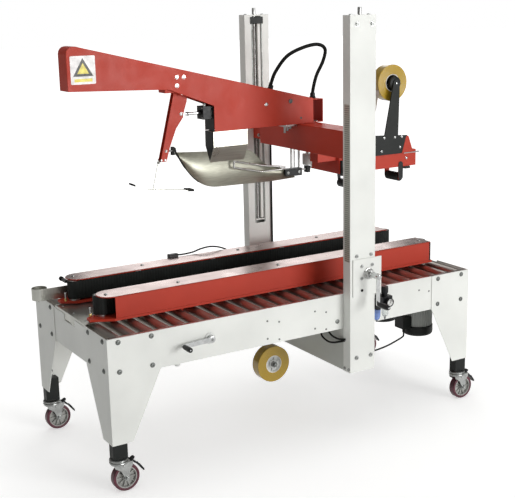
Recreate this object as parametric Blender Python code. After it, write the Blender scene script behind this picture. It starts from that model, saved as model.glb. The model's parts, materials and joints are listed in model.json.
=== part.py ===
"""Carton sealing machine: roller bed on casters, two side belts, tape heads and a flap-folding arm.

Blender 4.5 script, metres, +Z up. The carton travels along +X. The machine stands on Z = 0 and the
origin is the middle of its footprint; BED_MID is where the middle of the roller bed lies.
Each function makes one sub-part, or one kind of sub-part, from the driving dimensions below.
"""
import math

import bmesh
import bpy
from mathutils import Matrix, Vector

GAP = 0.0003                # clearance between touching pieces
SHEET = 0.003               # folded sheet metal

# Bed frame
BED_X = 0.885               # half length over the legs
BED_Y = 0.384               # half width over the legs
BED_TOP = 0.619
BEAM_BOTTOM = 0.467
BEAM_END = BED_X - 0.0066   # half length of a side beam
BEAM_OUT = BED_Y - SHEET - GAP
TOP_LIP = 0.012
BOTTOM_LIP = 0.030
PANEL_TOP = 0.612

# Legs and casters
LEG_BOTTOM = 0.197
LEG_WIDTH = 0.216
LEG_FOOT = 0.087
TUBE_X = 0.060
TUBE_Y = 0.040
TUBE_TOP = 0.240
WHEEL_RADIUS = 0.055
WHEEL_WIDTH = 0.032
CASTER_TRAIL = 0.0215
CASTER_TOP = 0.137
PEDAL_REACH = 0.103

# Rollers
ROLLER_RADIUS = 0.0225
ROLLER_PITCH = 0.0696
ROLLER_COUNT = 25
ROLLER_Z = 0.5985
ROLLER_END = 0.368
RAIL_IN = 0.3714
RAIL_OUT = 0.3774
SPLIT_ROLLERS = range(10, 18)       # the ones cut short around the lower tape head
SPLIT_GAP = 0.075

# Columns, lift and cross channel
COLUMN_X0 = 0.188
COLUMN_X1 = 0.316
COLUMN_IN = 0.3812
COLUMN_OUT = 0.4303
COLUMN_BOTTOM = 0.279
COLUMN_TOP = 1.760
SLOT_BOTTOM = 0.787
SLOT_HALF = 0.023
SCREW_X = (COLUMN_X0 + COLUMN_X1) / 2
SCREW_Y = 0.405
SCREW_RADIUS = 0.008
SCREW_TOP = 1.790

# Folding head
CROSS_X0 = 0.200
CROSS_X1 = 0.304
CROSS_Z0 = 1.185
CROSS_Z1 = 1.300
ARM_HALF = 0.0425
ARM_TIP = -0.842
ARM_STEP = -0.216
ARM_END = 0.275
ARM_BACK_Z = 1.407
KICKER_PIVOT = (-0.358, 1.466)
CYLINDER_Z = 1.379
TAPE_RADIUS = 0.0825
TAPE_HALF = 0.025
UPPER_ROLL = (0.724, 1.445)
LOWER_ROLL = (0.060, 0.228)
HEAD_X0 = 0.410
HEAD_X1 = 0.845
HEAD_Z0 = 1.060
HEAD_Z1 = 1.135
HEAD_HALF = 0.050
PRESS_ROLLER = (0.755, 1.012)

# Side belts
BELT_Y = 0.134              # middle of a belt loop
PULLEY_X = 0.800
PULLEY_RADIUS = 0.025
BELT_THICK = 0.004
BELT_Z0 = 0.648
BELT_Z1 = 0.7225
BASE_Z0 = 0.630
BASE_Z1 = 0.640
COVER_IN = 0.107
COVER_OUT = 0.2155
COVER_TOP = 0.7275
MOTOR_RADIUS = 0.0715

# Cranks
WIDTH_SCREW = (-0.4524, 0.545)
HEIGHT_CRANK = (0.2787, 0.705)
CRANK_REACH = 0.575         # how far the height crank's handle stands out from the bed's middle

BED_MID = Vector((0.0, (CRANK_REACH - COLUMN_OUT) / 2, 0.0))

MATERIALS = {               # colour, roughness, metallic
    "white_paint": ((0.83, 0.84, 0.80), 0.40, 0.0),
    "red_paint": ((0.56, 0.062, 0.036), 0.38, 0.0),
    "grey_paint": ((0.42, 0.43, 0.42), 0.45, 0.0),
    "black_paint": ((0.012, 0.014, 0.014), 0.45, 0.0),
    "stainless": ((0.56, 0.55, 0.50), 0.30, 1.0),
    "zinc": ((0.55, 0.56, 0.56), 0.38, 1.0),
    "chrome": ((0.75, 0.76, 0.77), 0.12, 1.0),
    "polyurethane": ((0.07, 0.008, 0.02), 0.42, 0.0),
    "belt_rubber": ((0.015, 0.017, 0.017), 0.65, 0.0),
    "black_rubber": ((0.012, 0.012, 0.012), 0.70, 0.0),
    "black_plastic": ((0.014, 0.015, 0.016), 0.42, 0.0),
    "tape_amber": ((0.50, 0.27, 0.03), 0.25, 0.0),
    "motor_grey": ((0.33, 0.35, 0.34), 0.50, 0.3),
    "steel": ((0.50, 0.50, 0.49), 0.35, 1.0),
}

PLANE_AXES = {"X": (1, 2), "Y": (0, 2), "Z": (0, 1)}
AXIS_INDEX = {"X": 0, "Y": 1, "Z": 2}


# ---------------------------------------------------------------- shapes

def new_object(bm):
    """A scratch object from a bmesh, with its faces pointing out."""
    bmesh.ops.recalc_face_normals(bm, faces=bm.faces)
    mesh = bpy.data.meshes.new("shape")
    bm.to_mesh(mesh)
    bm.free()
    obj = bpy.data.objects.new("shape", mesh)
    bpy.context.scene.collection.objects.link(obj)
    return obj


def prism(outline, axis, start, end):
    """A closed outline, given in the plane across axis, extruded from start to end."""
    bm = bmesh.new()
    first, second = PLANE_AXES[axis]
    corners = []
    for a, b in outline:
        place = [0.0, 0.0, 0.0]
        place[first] = a
        place[second] = b
        place[AXIS_INDEX[axis]] = start
        corners.append(bm.verts.new(place))
    face = bm.faces.new(corners)
    grown = bmesh.ops.extrude_face_region(bm, geom=[face])
    step = Vector((0.0, 0.0, 0.0))
    step[AXIS_INDEX[axis]] = end - start
    moved = [item for item in grown["geom"] if isinstance(item, bmesh.types.BMVert)]
    bmesh.ops.translate(bm, verts=moved, vec=step)
    return new_object(bm)


def block(x, y, z):
    """A box between two values on each axis, in either order."""
    return prism([(x[0], y[0]), (x[1], y[0]), (x[1], y[1]), (x[0], y[1])], "Z", z[0], z[1])


def arc(centre, radius, start, end, steps):
    """Points along an arc, angles in degrees."""
    points = []
    for i in range(steps + 1):
        angle = math.radians(start + (end - start) * i / steps)
        points.append((centre[0] + radius * math.cos(angle), centre[1] + radius * math.sin(angle)))
    return points


def rod(axis, centre, radius, start, end, sides=16):
    """A round bar; centre is given in the plane across axis."""
    return prism(arc(centre, radius, 0, 360, sides)[:-1], axis, start, end)


def turned(profile, axis, centre, sides):
    """A closed profile of (radius, place along axis) points, spun round the axis; it starts and ends on it."""
    bm = bmesh.new()
    first, second = PLANE_AXES[axis]
    rings = []
    for radius, along in profile:
        ring = []
        for i in range(sides if radius > 0 else 1):
            angle = 2 * math.pi * i / sides
            place = [0.0, 0.0, 0.0]
            place[first] = centre[0] + radius * math.cos(angle)
            place[second] = centre[1] + radius * math.sin(angle)
            place[AXIS_INDEX[axis]] = along
            ring.append(bm.verts.new(place))
        rings.append(ring)
    for low, high in zip(rings, rings[1:]):
        for i in range(sides):
            j = (i + 1) % sides
            corners = [low[i % len(low)], low[j % len(low)], high[j % len(high)], high[i % len(high)]]
            bm.faces.new(list(dict.fromkeys(corners)))
    return new_object(bm)


def combine(base, others, operation):
    """Apply Boolean modifiers to base and remove the operands."""
    for other in others:
        step = base.modifiers.new(operation.lower(), "BOOLEAN")
        step.operation = operation
        step.solver = "EXACT"
        step.object = other
    graph = bpy.context.evaluated_depsgraph_get()
    result = bpy.data.meshes.new_from_object(base.evaluated_get(graph))
    base.modifiers.clear()
    base.data = result
    for other in others:
        bpy.data.objects.remove(other)
    return base


def union(base, *others):
    return combine(base, others, "UNION")


def cut(base, *others):
    return combine(base, others, "DIFFERENCE")


def finish(obj, name, material, pivot=(0.0, 0.0, 0.0)):
    """Name the node, put its origin on its pivot and give it a material of its own."""
    pivot = Vector(pivot)
    obj.name = name
    obj.data.name = name
    obj.data.transform(Matrix.Translation(-pivot))
    obj.location = pivot + BED_MID
    colour, roughness, metallic = MATERIALS[material]
    mat = bpy.data.materials.new(name + "_" + material)
    mat.use_nodes = True
    shader = mat.node_tree.nodes["Principled BSDF"]
    shader.inputs["Base Color"].default_value = (*colour, 1.0)
    shader.inputs["Roughness"].default_value = roughness
    shader.inputs["Metallic"].default_value = metallic
    obj.data.materials.clear()
    obj.data.materials.append(mat)
    if obj.type == "MESH":
        obj.data.shade_smooth()
        obj.data.set_sharp_from_angle(angle=math.radians(35))
    return obj


# ---------------------------------------------------------------- bed frame

def side_beam(name, side):
    """C-section beam with a narrow top lip; the near one lets the width screw through."""
    out = side * BEAM_OUT
    web = side * (BEAM_OUT - SHEET)
    top_in = side * (BEAM_OUT - TOP_LIP)
    low_in = side * (BEAM_OUT - BOTTOM_LIP)
    outline = [
        (out, BEAM_BOTTOM), (out, BED_TOP), (top_in, BED_TOP), (top_in, BED_TOP - SHEET),
        (web, BED_TOP - SHEET), (web, BEAM_BOTTOM + SHEET), (low_in, BEAM_BOTTOM + SHEET),
        (low_in, BEAM_BOTTOM),
    ]
    beam = prism(outline, "X", -BEAM_END, BEAM_END)
    if side < 0:
        beam = cut(beam, rod("Y", WIDTH_SCREW, 0.0095, -0.40, -0.36))
    finish(beam, name, "white_paint")


def end_panel(name, end, notch):
    """Plate that closes the end of the bed, with an optional shallow notch in its top edge."""
    half = BEAM_OUT
    x_out = end * (BED_X - SHEET - GAP)
    panel = block((x_out, x_out - end * SHEET), (-half, half), (BEAM_BOTTOM, PANEL_TOP))
    if notch:
        panel = cut(panel, block((end * 0.9, end * 0.87), (-notch, notch), (PANEL_TOP - 0.028, 0.65)))
    finish(panel, name, "white_paint")


def leg(name, end, side):
    """Folded L-section leg: full width over the beam, then tapering to the foot."""
    def flange(outer, sign):
        return [
            (sign * outer, BED_TOP), (sign * (outer - LEG_WIDTH), BED_TOP),
            (sign * (outer - LEG_WIDTH), BEAM_BOTTOM), (sign * (outer - LEG_FOOT), LEG_BOTTOM),
            (sign * outer, LEG_BOTTOM),
        ]
    along = prism(flange(BED_X, end), "Y", side * BED_Y, side * (BED_Y - SHEET))
    across = prism(flange(BED_Y, side), "X", end * BED_X, end * (BED_X - SHEET))
    finish(union(along, across), name, "white_paint")


def caster_axis(end, side):
    """Where a caster swivels, in X and Y."""
    return (end * (BED_X - SHEET - GAP - TUBE_X / 2), side * (BED_Y - SHEET - GAP - TUBE_Y / 2))


def leg_tube(name, end, side):
    """Short square tube in the foot of the leg, down to the caster."""
    x, y = caster_axis(end, side)
    tube = block((x - TUBE_X / 2, x + TUBE_X / 2), (y - TUBE_Y / 2, y + TUBE_Y / 2),
                 (CASTER_TOP, TUBE_TOP))
    finish(tube, name, "black_paint")


def caster_fork(name, end, side):
    """Swivel head, two fork cheeks and the wheel's axle."""
    x, y = caster_axis(end, side)
    head_low = 0.117
    head = rod("Z", (x, y), 0.036, head_low, CASTER_TOP - GAP, 24)
    crown = block((x - 0.030, x + 0.046), (y - 0.022, y + 0.022), (0.1125, head_low + 0.001))
    axle = (x + CASTER_TRAIL, WHEEL_RADIUS)
    cheek = [(x - 0.030, 0.113), (x + 0.046, 0.113)] + arc(axle, 0.014, 0, -180, 6)
    cheeks = [prism(cheek, "Y", y + s * 0.0185, y + s * 0.022) for s in (-1, 1)]
    pin = rod("Y", axle, 0.006, y - 0.021, y + 0.021, 12)
    finish(union(head, crown, *cheeks, pin), name, "zinc", (x, y, CASTER_TOP))


def caster_wheel(name, end, side):
    """Wheel with a slightly chamfered tread and a running bore."""
    x, y = caster_axis(end, side)
    centre = (x + CASTER_TRAIL, WHEEL_RADIUS)
    half = WHEEL_WIDTH / 2
    wheel = rod("Y", centre, WHEEL_RADIUS, y - half, y + half, 32)
    edge = wheel.modifiers.new("tread", "BEVEL")
    edge.width = 0.004
    edge.segments = 1
    edge.limit_method = "ANGLE"
    edge.angle_limit = math.radians(60)
    wheel = cut(wheel, rod("Y", centre, 0.0066, y - 0.03, y + 0.03, 16))
    finish(wheel, name, "polyurethane", (centre[0], y, centre[1]))


def caster_brake(name, end, side):
    """Foot pedal that tips over the back of the wheel."""
    x, y = caster_axis(end, side)
    hinge = (x + 0.049, 0.118)
    pedal = [
        (x + 0.0465, 0.1205), (x + 0.0465, 0.1155), (x + 0.073, 0.0955),
        (x + PEDAL_REACH - 0.004, 0.063), (x + PEDAL_REACH, 0.066), (x + 0.077, 0.100),
        (x + 0.055, 0.1205),
    ]
    finish(prism(pedal, "Y", y - 0.012, y + 0.012), name, "black_plastic", (hinge[0], y, hinge[1]))


def roller(centre, start, end, shaft_start, shaft_end):
    """A roller tube closed by a disc at its start and open at its end, on a through shaft."""
    shaft = 0.005
    inner = ROLLER_RADIUS - 0.0025
    disc = start + math.copysign(SHEET, end - start)
    profile = [
        (0.0, shaft_start), (shaft, shaft_start), (shaft, start), (ROLLER_RADIUS, start),
        (ROLLER_RADIUS, end), (inner, end), (inner, disc), (shaft, disc), (shaft, shaft_end),
        (0.0, shaft_end),
    ]
    return turned(profile, "Y", centre, 12)


def roller_bed():
    """All the rollers with their shafts in two side rails and two short inner rails."""
    rails = [block((-0.865, 0.865), (s * RAIL_IN, s * RAIL_OUT), (0.585, PANEL_TOP)) for s in (-1, 1)]
    shaft_end = (RAIL_IN + RAIL_OUT) / 2
    pieces = []
    first = -(ROLLER_COUNT - 1) / 2 * ROLLER_PITCH
    for i in range(ROLLER_COUNT):
        centre = (first + i * ROLLER_PITCH, ROLLER_Z)
        if i in SPLIT_ROLLERS:
            for s in (-1, 1):
                pieces.append(roller(centre, s * SPLIT_GAP, s * ROLLER_END, s * 0.065, s * shaft_end))
        else:
            pieces.append(roller(centre, -ROLLER_END, ROLLER_END, -shaft_end, shaft_end))
    x0 = first + SPLIT_ROLLERS[0] * ROLLER_PITCH - 0.03
    x1 = first + SPLIT_ROLLERS[-1] * ROLLER_PITCH + 0.03
    for s in (-1, 1):
        pieces.append(block((x0, x1), (s * 0.062, s * 0.068), (0.585, PANEL_TOP)))
    finish(union(rails[0], rails[1], *pieces), "roller_bed", "stainless")


# ---------------------------------------------------------------- columns and lift

def column(name, side):
    """Box column, slotted on its inner face above the bed, with a capped top."""
    x0, x1 = COLUMN_X0, COLUMN_X1
    y_in, y_out = side * COLUMN_IN, side * COLUMN_OUT
    wall = side * SHEET
    slot0, slot1 = SCREW_X - SLOT_HALF, SCREW_X + SLOT_HALF
    section = [
        (slot0, y_in), (x0, y_in), (x0, y_out), (x1, y_out), (x1, y_in), (slot1, y_in),
        (slot1, y_in + wall), (x1 - SHEET, y_in + wall), (x1 - SHEET, y_out - wall),
        (x0 + SHEET, y_out - wall), (x0 + SHEET, y_in + wall), (slot0, y_in + wall),
    ]
    shell = prism(section, "Z", COLUMN_BOTTOM, COLUMN_TOP - SHEET)
    filler = block((slot0 - 0.001, slot1 + 0.001), (y_in, y_in + wall), (COLUMN_BOTTOM, SLOT_BOTTOM))
    cap = block((x0, x1), (y_in, y_out), (COLUMN_TOP - 2 * SHEET, COLUMN_TOP))
    step = block((x0 + 0.001, x1 - 0.001), (y_in + wall / 2, y_out - wall / 2), (0.80, 0.806))
    shell = union(shell, filler, cap, step)
    holes = rod("Z", (SCREW_X, side * SCREW_Y), SCREW_RADIUS + 0.001, COLUMN_TOP - 0.02, COLUMN_TOP + 0.02)
    finish(cut(shell, holes), name, "white_paint")


def lift_screw(name, side):
    """Leadscrew that stands on the column's inner shelf and ends in a stud above the cap."""
    screw = rod("Z", (SCREW_X, side * SCREW_Y), SCREW_RADIUS, 0.806 + GAP, SCREW_TOP)
    finish(screw, name, "steel", (SCREW_X, side * SCREW_Y, 1.0))


def column_channel():
    """Deep channel under the bed that ties the two columns together."""
    x0, x1 = COLUMN_X0 + 0.002, COLUMN_X1 - 0.002
    top = BEAM_BOTTOM - GAP
    section = [
        (x0, COLUMN_BOTTOM), (x0, top), (x1, top), (x1, COLUMN_BOTTOM), (x1 - SHEET, COLUMN_BOTTOM),
        (x1 - SHEET, top - SHEET), (x0 + SHEET, top - SHEET), (x0 + SHEET, COLUMN_BOTTOM),
    ]
    finish(prism(section, "Y", GAP - COLUMN_IN, COLUMN_IN - GAP), "column_channel", "grey_paint")


def lift_bracket():
    """Plate on the near column that carries the height crank."""
    y_in = -COLUMN_OUT - GAP
    plate = block((0.200, 0.3465), (y_in, y_in - 0.004), (0.612, 0.771))
    plate = cut(plate, rod("Y", HEIGHT_CRANK, 0.0095, -0.45, -0.42))
    finish(plate, "lift_bracket", "white_paint")


def height_crank():
    """Crank handle that turns the leadscrews."""
    x, z = HEIGHT_CRANK
    arm_y = -0.504
    hub = rod("Y", (x, z), 0.009 - GAP, -COLUMN_OUT - GAP, arm_y, 16)
    collar = rod("Y", (x, z), 0.013, -COLUMN_OUT - 0.0046, arm_y + 0.002, 16)
    arm = block((x - 0.008, x + 0.008), (arm_y, arm_y + 0.006), (z - 0.127, z + 0.012))
    grip = rod("Y", (x, z - 0.118), 0.010, -CRANK_REACH, arm_y + 0.001, 16)
    finish(union(collar, hub, arm, grip), "height_crank", "chrome", (x, arm_y, z))


def width_crank():
    """Crank and the cross screw that moves both belt units."""
    x, z = WIDTH_SCREW
    arm_y = -0.402
    screw = rod("Y", (x, z), SCREW_RADIUS, arm_y + 0.001, BEAM_OUT - SHEET - GAP, 12)
    collar = rod("Y", (x, z), 0.014, -BEAM_OUT - GAP, arm_y, 16)
    arm = prism([(x + 0.012, z - 0.008), (x + 0.012, z + 0.008), (x - 0.132, z + 0.003),
                 (x - 0.132, z - 0.013)], "Y", arm_y, arm_y + 0.006)
    grip = rod("Y", (x - 0.124, z - 0.005), 0.010, -0.457, arm_y + 0.001, 16)
    finish(union(screw, collar, arm, grip), "width_crank", "chrome", (x, arm_y, z))


# ---------------------------------------------------------------- folding head

def cross_beam():
    """Box beam between the columns; its end lugs ride on the leadscrews."""
    half = COLUMN_IN - GAP
    beam = block((CROSS_X0, CROSS_X1), (-half, half), (CROSS_Z0, CROSS_Z1 - GAP))
    core = block((CROSS_X0 + SHEET, CROSS_X1 - SHEET), (-0.5, 0.5), (CROSS_Z0 + SHEET, CROSS_Z1 - 2 * SHEET))
    beam = cut(beam, core)
    lugs = []
    for s in (-1, 1):
        lugs.append(block((SCREW_X - 0.018, SCREW_X + 0.018), (s * 0.360, s * (COLUMN_OUT - 0.006)),
                          (CROSS_Z0 + 0.001, CROSS_Z1 - 0.001)))
    beam = union(beam, *lugs)
    bores = [rod("Z", (SCREW_X, s * SCREW_Y), SCREW_RADIUS + 0.001, 1.1, 1.4) for s in (-1, 1)]
    finish(cut(beam, *bores), "cross_beam", "red_paint")


def arm_outline(inset):
    """Side view of the folding arm; inset draws its hollow, which is open at the bottom."""
    tip = ARM_TIP + inset
    top = 1.669 - inset
    end = ARM_END - inset
    slope = (ARM_BACK_Z - 1.669) / (ARM_END - (-0.8025))
    drop = 0.0305 if inset else 0.0
    points = [(tip, 1.5014 - drop)]
    points += arc((tip + 0.028, top - 0.028), 0.028, 180, 90, 4)
    points += [(-0.8025, top), (end, ARM_BACK_Z - inset - slope * inset)]
    points += [(end, CROSS_Z1 + GAP - drop)]
    if inset:
        points += [(ARM_STEP - 0.030, CROSS_Z1 - drop), (ARM_STEP - 0.030, ARM_BACK_Z - 0.020)]
        points += [(-0.420, 1.485 - drop)]
    else:
        points += [(ARM_STEP, CROSS_Z1 + GAP), (ARM_STEP, ARM_BACK_Z), (-0.420, 1.485)]
    return points


def fold_arm():
    """Hollow sheet arm that reaches over the infeed, with its end bracket on the cross beam."""
    arm = prism(arm_outline(0.0), "Y", -ARM_HALF, ARM_HALF)
    hollow = prism(arm_outline(SHEET), "Y", SHEET - ARM_HALF, ARM_HALF - SHEET)
    arm = cut(arm, hollow)
    low, high = CROSS_Z1 + 2 * GAP, 1.4020
    left, right = ARM_END - 0.0015, 0.3296
    bracket = prism([(left, high), (right, high), (right, low), (left, low),
                     (left, low + SHEET), (right - SHEET, low + SHEET), (right - SHEET, high - SHEET),
                     (left, high - SHEET)], "Y", -0.038, 0.038)
    finish(union(arm, bracket), "fold_arm", "red_paint")


def arm_shoe():
    """Hollow V-bottomed guide under the deep part of the arm."""
    def section(inset):
        half = 0.036 - inset
        return [(-half, 1.2995 - inset), (-half, 1.235), (0.0, 1.168 + 1.9 * inset), (half, 1.235),
                (half, 1.2995 - inset)]
    shoe = prism(section(0.0), "X", ARM_STEP - 0.004, -0.055)
    finish(cut(shoe, prism(section(SHEET), "X", -0.30, 0.05)), "arm_shoe", "stainless")


def kicker():
    """Swinging leg with a ski at its foot that folds the rear flap."""
    leg_side = [(-0.3800, 1.480), (-0.3215, 1.458), (-0.3255, 1.430), (-0.3376, 1.3965),
                (-0.3448, 1.3666), (-0.3779, 1.3235), (-0.4095, 1.2498), (-0.4290, 1.185), (-0.4565, 1.185)]
    plate = prism(leg_side, "Y", -0.0125, 0.0125)
    pin = rod("Y", KICKER_PIVOT, 0.006, SHEET + GAP - ARM_HALF, ARM_HALF - SHEET - GAP, 12)
    blade = prism([(-0.4565, 1.190), (-0.4265, 1.190), (-0.4384, 1.076), (-0.4875, 1.081)], "Y", -0.003, 0.003)
    sole = [(-0.582, 1.112), (-0.533, 1.0905), (-0.511, 1.0820), (-0.309, 1.0600), (-0.309, 1.0640),
            (-0.510, 1.0862), (-0.531, 1.0945), (-0.580, 1.116)]
    ski = prism(sole, "Y", -0.020, 0.020)
    finish(union(plate, pin, blade, ski), "kicker", "red_paint", (KICKER_PIVOT[0], 0.0, KICKER_PIVOT[1]))


def kicker_cylinder():
    """Air cylinder inside the arm that pushes the kicker."""
    axis = (0.0, CYLINDER_Z)
    body = rod("X", axis, 0.024, -0.258, -0.080, 20)
    stem = rod("X", axis, 0.006, -0.332, -0.250, 12)
    wall = ARM_HALF - SHEET - GAP
    yoke = block((-0.110, -0.070), (-wall, wall), (CYLINDER_Z - 0.020, CYLINDER_Z + 0.020))
    finish(union(body, stem, yoke), "kicker_cylinder", "black_plastic")


def plough_edges(s):
    """Top and low edge of the plough at share s of its length, each in Y and Z."""
    fall = min(max((s - 0.60) / 0.20, 0.0), 1.0)
    top = (1.2035 - 0.0175 * min(s / 0.62, 1.0) - 0.078 * fall * fall * (3 - 2 * fall)
           - 0.165 * max(s - 0.80, 0.0))
    low = 1.190 - 0.148 * (1 - (1 - min(s / 0.35, 1.0)) ** 2.65) + 0.03 * max(s - 0.80, 0.0)
    return (0.135 - 0.045 * s, top), (0.115 - 0.045 * s, low)


def plough_sheet():
    """Curved sheet that turns the side flap down as the carton moves along."""
    bm = bmesh.new()
    along, down = 14, 5
    rows = []
    for i in range(along + 1):
        s = i / along
        top, low = plough_edges(s)
        row = []
        for j in range(down + 1):
            t = j / down
            bulge = 0.020 * math.sin(math.pi * t)
            row.append(bm.verts.new((-0.310 + 0.560 * s, top[0] + (low[0] - top[0]) * t + bulge,
                                     top[1] + (low[1] - top[1]) * t)))
        rows.append(row)
    for i in range(along):
        for j in range(down):
            bm.faces.new((rows[i][j], rows[i + 1][j], rows[i + 1][j + 1], rows[i][j + 1]))
    sheet = new_object(bm)
    thick = sheet.modifiers.new("thickness", "SOLIDIFY")
    thick.thickness = 0.003
    thick.offset = 0.0
    return sheet


def side_plough():
    """The curved sheet on its rods, hung from the cross beam."""
    lug = rod("Y", (0.090, 1.107), 0.009, 0.070, 0.119, 12)
    across = rod("X", (0.104, 1.107), 0.0052, 0.090, 0.255, 10)
    upright = rod("Z", (0.250, 0.100), 0.007, 1.103, CROSS_Z0 - GAP, 12)
    clamp = block((0.238, 0.262), (0.087, 0.113), (1.095, 1.119))
    finish(union(plough_sheet(), lug, across, upright, clamp), "side_plough", "stainless")


# ---------------------------------------------------------------- tape heads

def upper_tape_frame():
    """Channel that carries the upper tape head, bolted behind the cross beam."""
    section = [
        (-HEAD_HALF, HEAD_Z0), (-HEAD_HALF, HEAD_Z1), (HEAD_HALF, HEAD_Z1), (HEAD_HALF, HEAD_Z0),
        (HEAD_HALF - SHEET, HEAD_Z0), (HEAD_HALF - SHEET, HEAD_Z1 - SHEET),
        (SHEET - HEAD_HALF, HEAD_Z1 - SHEET), (SHEET - HEAD_HALF, HEAD_Z0),
    ]
    channel = prism(section, "X", HEAD_X0, HEAD_X1)
    front = block((HEAD_X0 - SHEET, HEAD_X0 + 0.001), (-HEAD_HALF, 0.175), (HEAD_Z0, HEAD_Z1))
    neck = block((CROSS_X1 + GAP, HEAD_X0 + 0.010), (-0.030, 0.030), (HEAD_Z1 - 0.015, CROSS_Z0 + 0.030))
    x, z = PRESS_ROLLER
    ears = [block((x - 0.012, x + 0.012), (s * (HEAD_HALF - SHEET), s * HEAD_HALF), (z - 0.010, HEAD_Z0 + 0.005))
            for s in (-1, 1)]
    frame = union(channel, front, neck, *ears)
    frame = cut(frame, rod("Y", PRESS_ROLLER, 0.0047, -0.1, 0.1, 12))
    finish(frame, "upper_tape_frame", "red_paint")


def press_roller():
    """Rubber roller that wipes the upper tape down."""
    body = rod("Y", PRESS_ROLLER, 0.020, -0.044, 0.044, 20)
    shaft = rod("Y", PRESS_ROLLER, 0.004, -0.0495, 0.0495, 12)
    finish(union(body, shaft), "press_roller", "black_rubber", (PRESS_ROLLER[0], 0.0, PRESS_ROLLER[1]))


def tape_arm():
    """Black side plate on the upper head and the arm that holds the tape roll."""
    low = HEAD_Z1 + GAP
    plate = prism([(0.425, low), (0.425, 1.228), (0.790, 1.205), (0.762, low)], "Y", -0.050, -0.046)
    arm = prism([(0.655, 1.200), (0.735, 1.200), (0.742, 1.445)] + arc(UPPER_ROLL, 0.018, 0, 180, 5),
                "Y", -0.049, -0.045)
    hub = rod("Y", UPPER_ROLL, 0.030, -0.046, -TAPE_HALF - GAP, 20)
    spindle = rod("Y", UPPER_ROLL, 0.012, -0.045, 0.030, 16)
    finish(union(plate, arm, hub, spindle), "tape_arm", "black_paint")


def tape_roll(name, centre):
    """Roll of tape on its core."""
    roll = rod("Y", centre, TAPE_RADIUS, -TAPE_HALF, TAPE_HALF, 40)
    roll = cut(roll, rod("Y", centre, 0.0127, -0.05, 0.05, 16))
    finish(roll, name, "tape_amber", (centre[0], 0.0, centre[1]))


def lower_tape_frame():
    """Trough between the rollers for the lower tape head, two straps and the roll's hanger."""
    half = 0.045
    floor = BEAM_BOTTOM + SHEET + GAP
    top = 0.610
    section = [
        (-half, top), (-half, floor), (half, floor), (half, top), (half - SHEET, top),
        (half - SHEET, floor + SHEET), (SHEET - half, floor + SHEET), (SHEET - half, top),
    ]
    trough = prism(section, "X", -0.180, 0.388)
    straps = [block((x - 0.020, x + 0.020), (-0.365, 0.365), (floor, floor + 0.006)) for x in (-0.140, 0.350)]
    x, z = LOWER_ROLL
    hanger = prism([(x - 0.045, floor + 0.002), (x + 0.045, floor + 0.002), (x + 0.018, z)]
                   + arc(LOWER_ROLL, 0.018, 0, -180, 5), "Y", TAPE_HALF + GAP, TAPE_HALF + 0.0053)
    spindle = rod("Y", LOWER_ROLL, 0.012, -0.030, TAPE_HALF + 0.004, 16)
    finish(union(trough, *straps, hanger, spindle), "lower_tape_frame", "steel")


# ---------------------------------------------------------------- side belts

def belt_base(name, side):
    """Base plate with a pointed infeed end, the belt's backing rail, pulley pins and screw nut."""
    y_in, y_out = side * 0.100, side * COVER_OUT
    outline = [
        (-0.862, side * 0.140), (-0.862, side * 0.172), (-0.775, y_out), (0.812, y_out),
        (0.812, y_in), (-0.800, y_in),
    ]
    plate = prism(outline, "Z", BASE_Z0, BASE_Z1)
    mid = side * BELT_Y
    rail_top = COVER_TOP - SHEET - GAP
    rail = block((-0.740, 0.740), (mid - 0.018, mid + 0.018), (BASE_Z1 - 0.001, rail_top))
    rail = cut(rail, block((-0.737, 0.737), (mid - 0.015, mid + 0.015), (BASE_Z1 + 0.002, rail_top + 0.01)))
    pins = [rod("Z", (x, mid), 0.008, BASE_Z1 - 0.001, 0.7238, 12) for x in (-PULLEY_X, PULLEY_X)]
    x, z = WIDTH_SCREW
    neck = block((x - 0.006, x + 0.006), (mid - 0.020, mid + 0.020), (z + 0.015, BASE_Z0 + 0.001))
    nut = block((x - 0.016, x + 0.016), (mid - 0.020, mid + 0.020), (z - 0.016, z + 0.016))
    base = union(plate, rail, *pins, neck, nut)
    finish(cut(base, rod("Y", WIDTH_SCREW, SCREW_RADIUS + 0.0008, -0.3, 0.3, 12)), name, "red_paint")


def pulley(name, end, side):
    """Belt pulley with a running bore."""
    centre = (end * PULLEY_X, side * BELT_Y)
    drum = rod("Z", centre, PULLEY_RADIUS, BASE_Z1 + GAP, 0.7232, 24)
    drum = cut(drum, rod("Z", centre, 0.0085, 0.6, 0.8, 16))
    finish(drum, name, "steel", (centre[0], centre[1], BASE_Z1))


def stadium(radius, side):
    """Outline of a belt loop around both pulleys."""
    mid = side * BELT_Y
    right = arc((PULLEY_X, mid), radius, -90, 90, 12)
    left = arc((-PULLEY_X, mid), radius, 90, 270, 12)
    return right + left


def drive_belt(name, side):
    """Flat belt loop."""
    inner = PULLEY_RADIUS + GAP
    loop = prism(stadium(inner + BELT_THICK, side), "Z", BELT_Z0, BELT_Z1)
    loop = cut(loop, prism(stadium(inner, side), "Z", BELT_Z0 - 0.01, BELT_Z1 + 0.01))
    finish(loop, name, "belt_rubber")


def belt_cover(name, side):
    """Top sheet with a round infeed end and the outer skirt."""
    radius = (COVER_OUT - COVER_IN) / 2
    middle = side * (COVER_OUT + COVER_IN) / 2
    outline = [(0.802, side * COVER_OUT), (0.802, side * COVER_IN)]
    outline += arc((-0.770, middle), radius, -90 * side, -90 * side - 180 * side, 10)
    top = prism(outline, "Z", COVER_TOP - SHEET, COVER_TOP)
    skirt = block((-0.770, 0.795), (side * (COVER_OUT - SHEET), side * COVER_OUT),
                  (BASE_Z1 + GAP, COVER_TOP - 0.001))
    finish(union(top, skirt), name, "red_paint")


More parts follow.
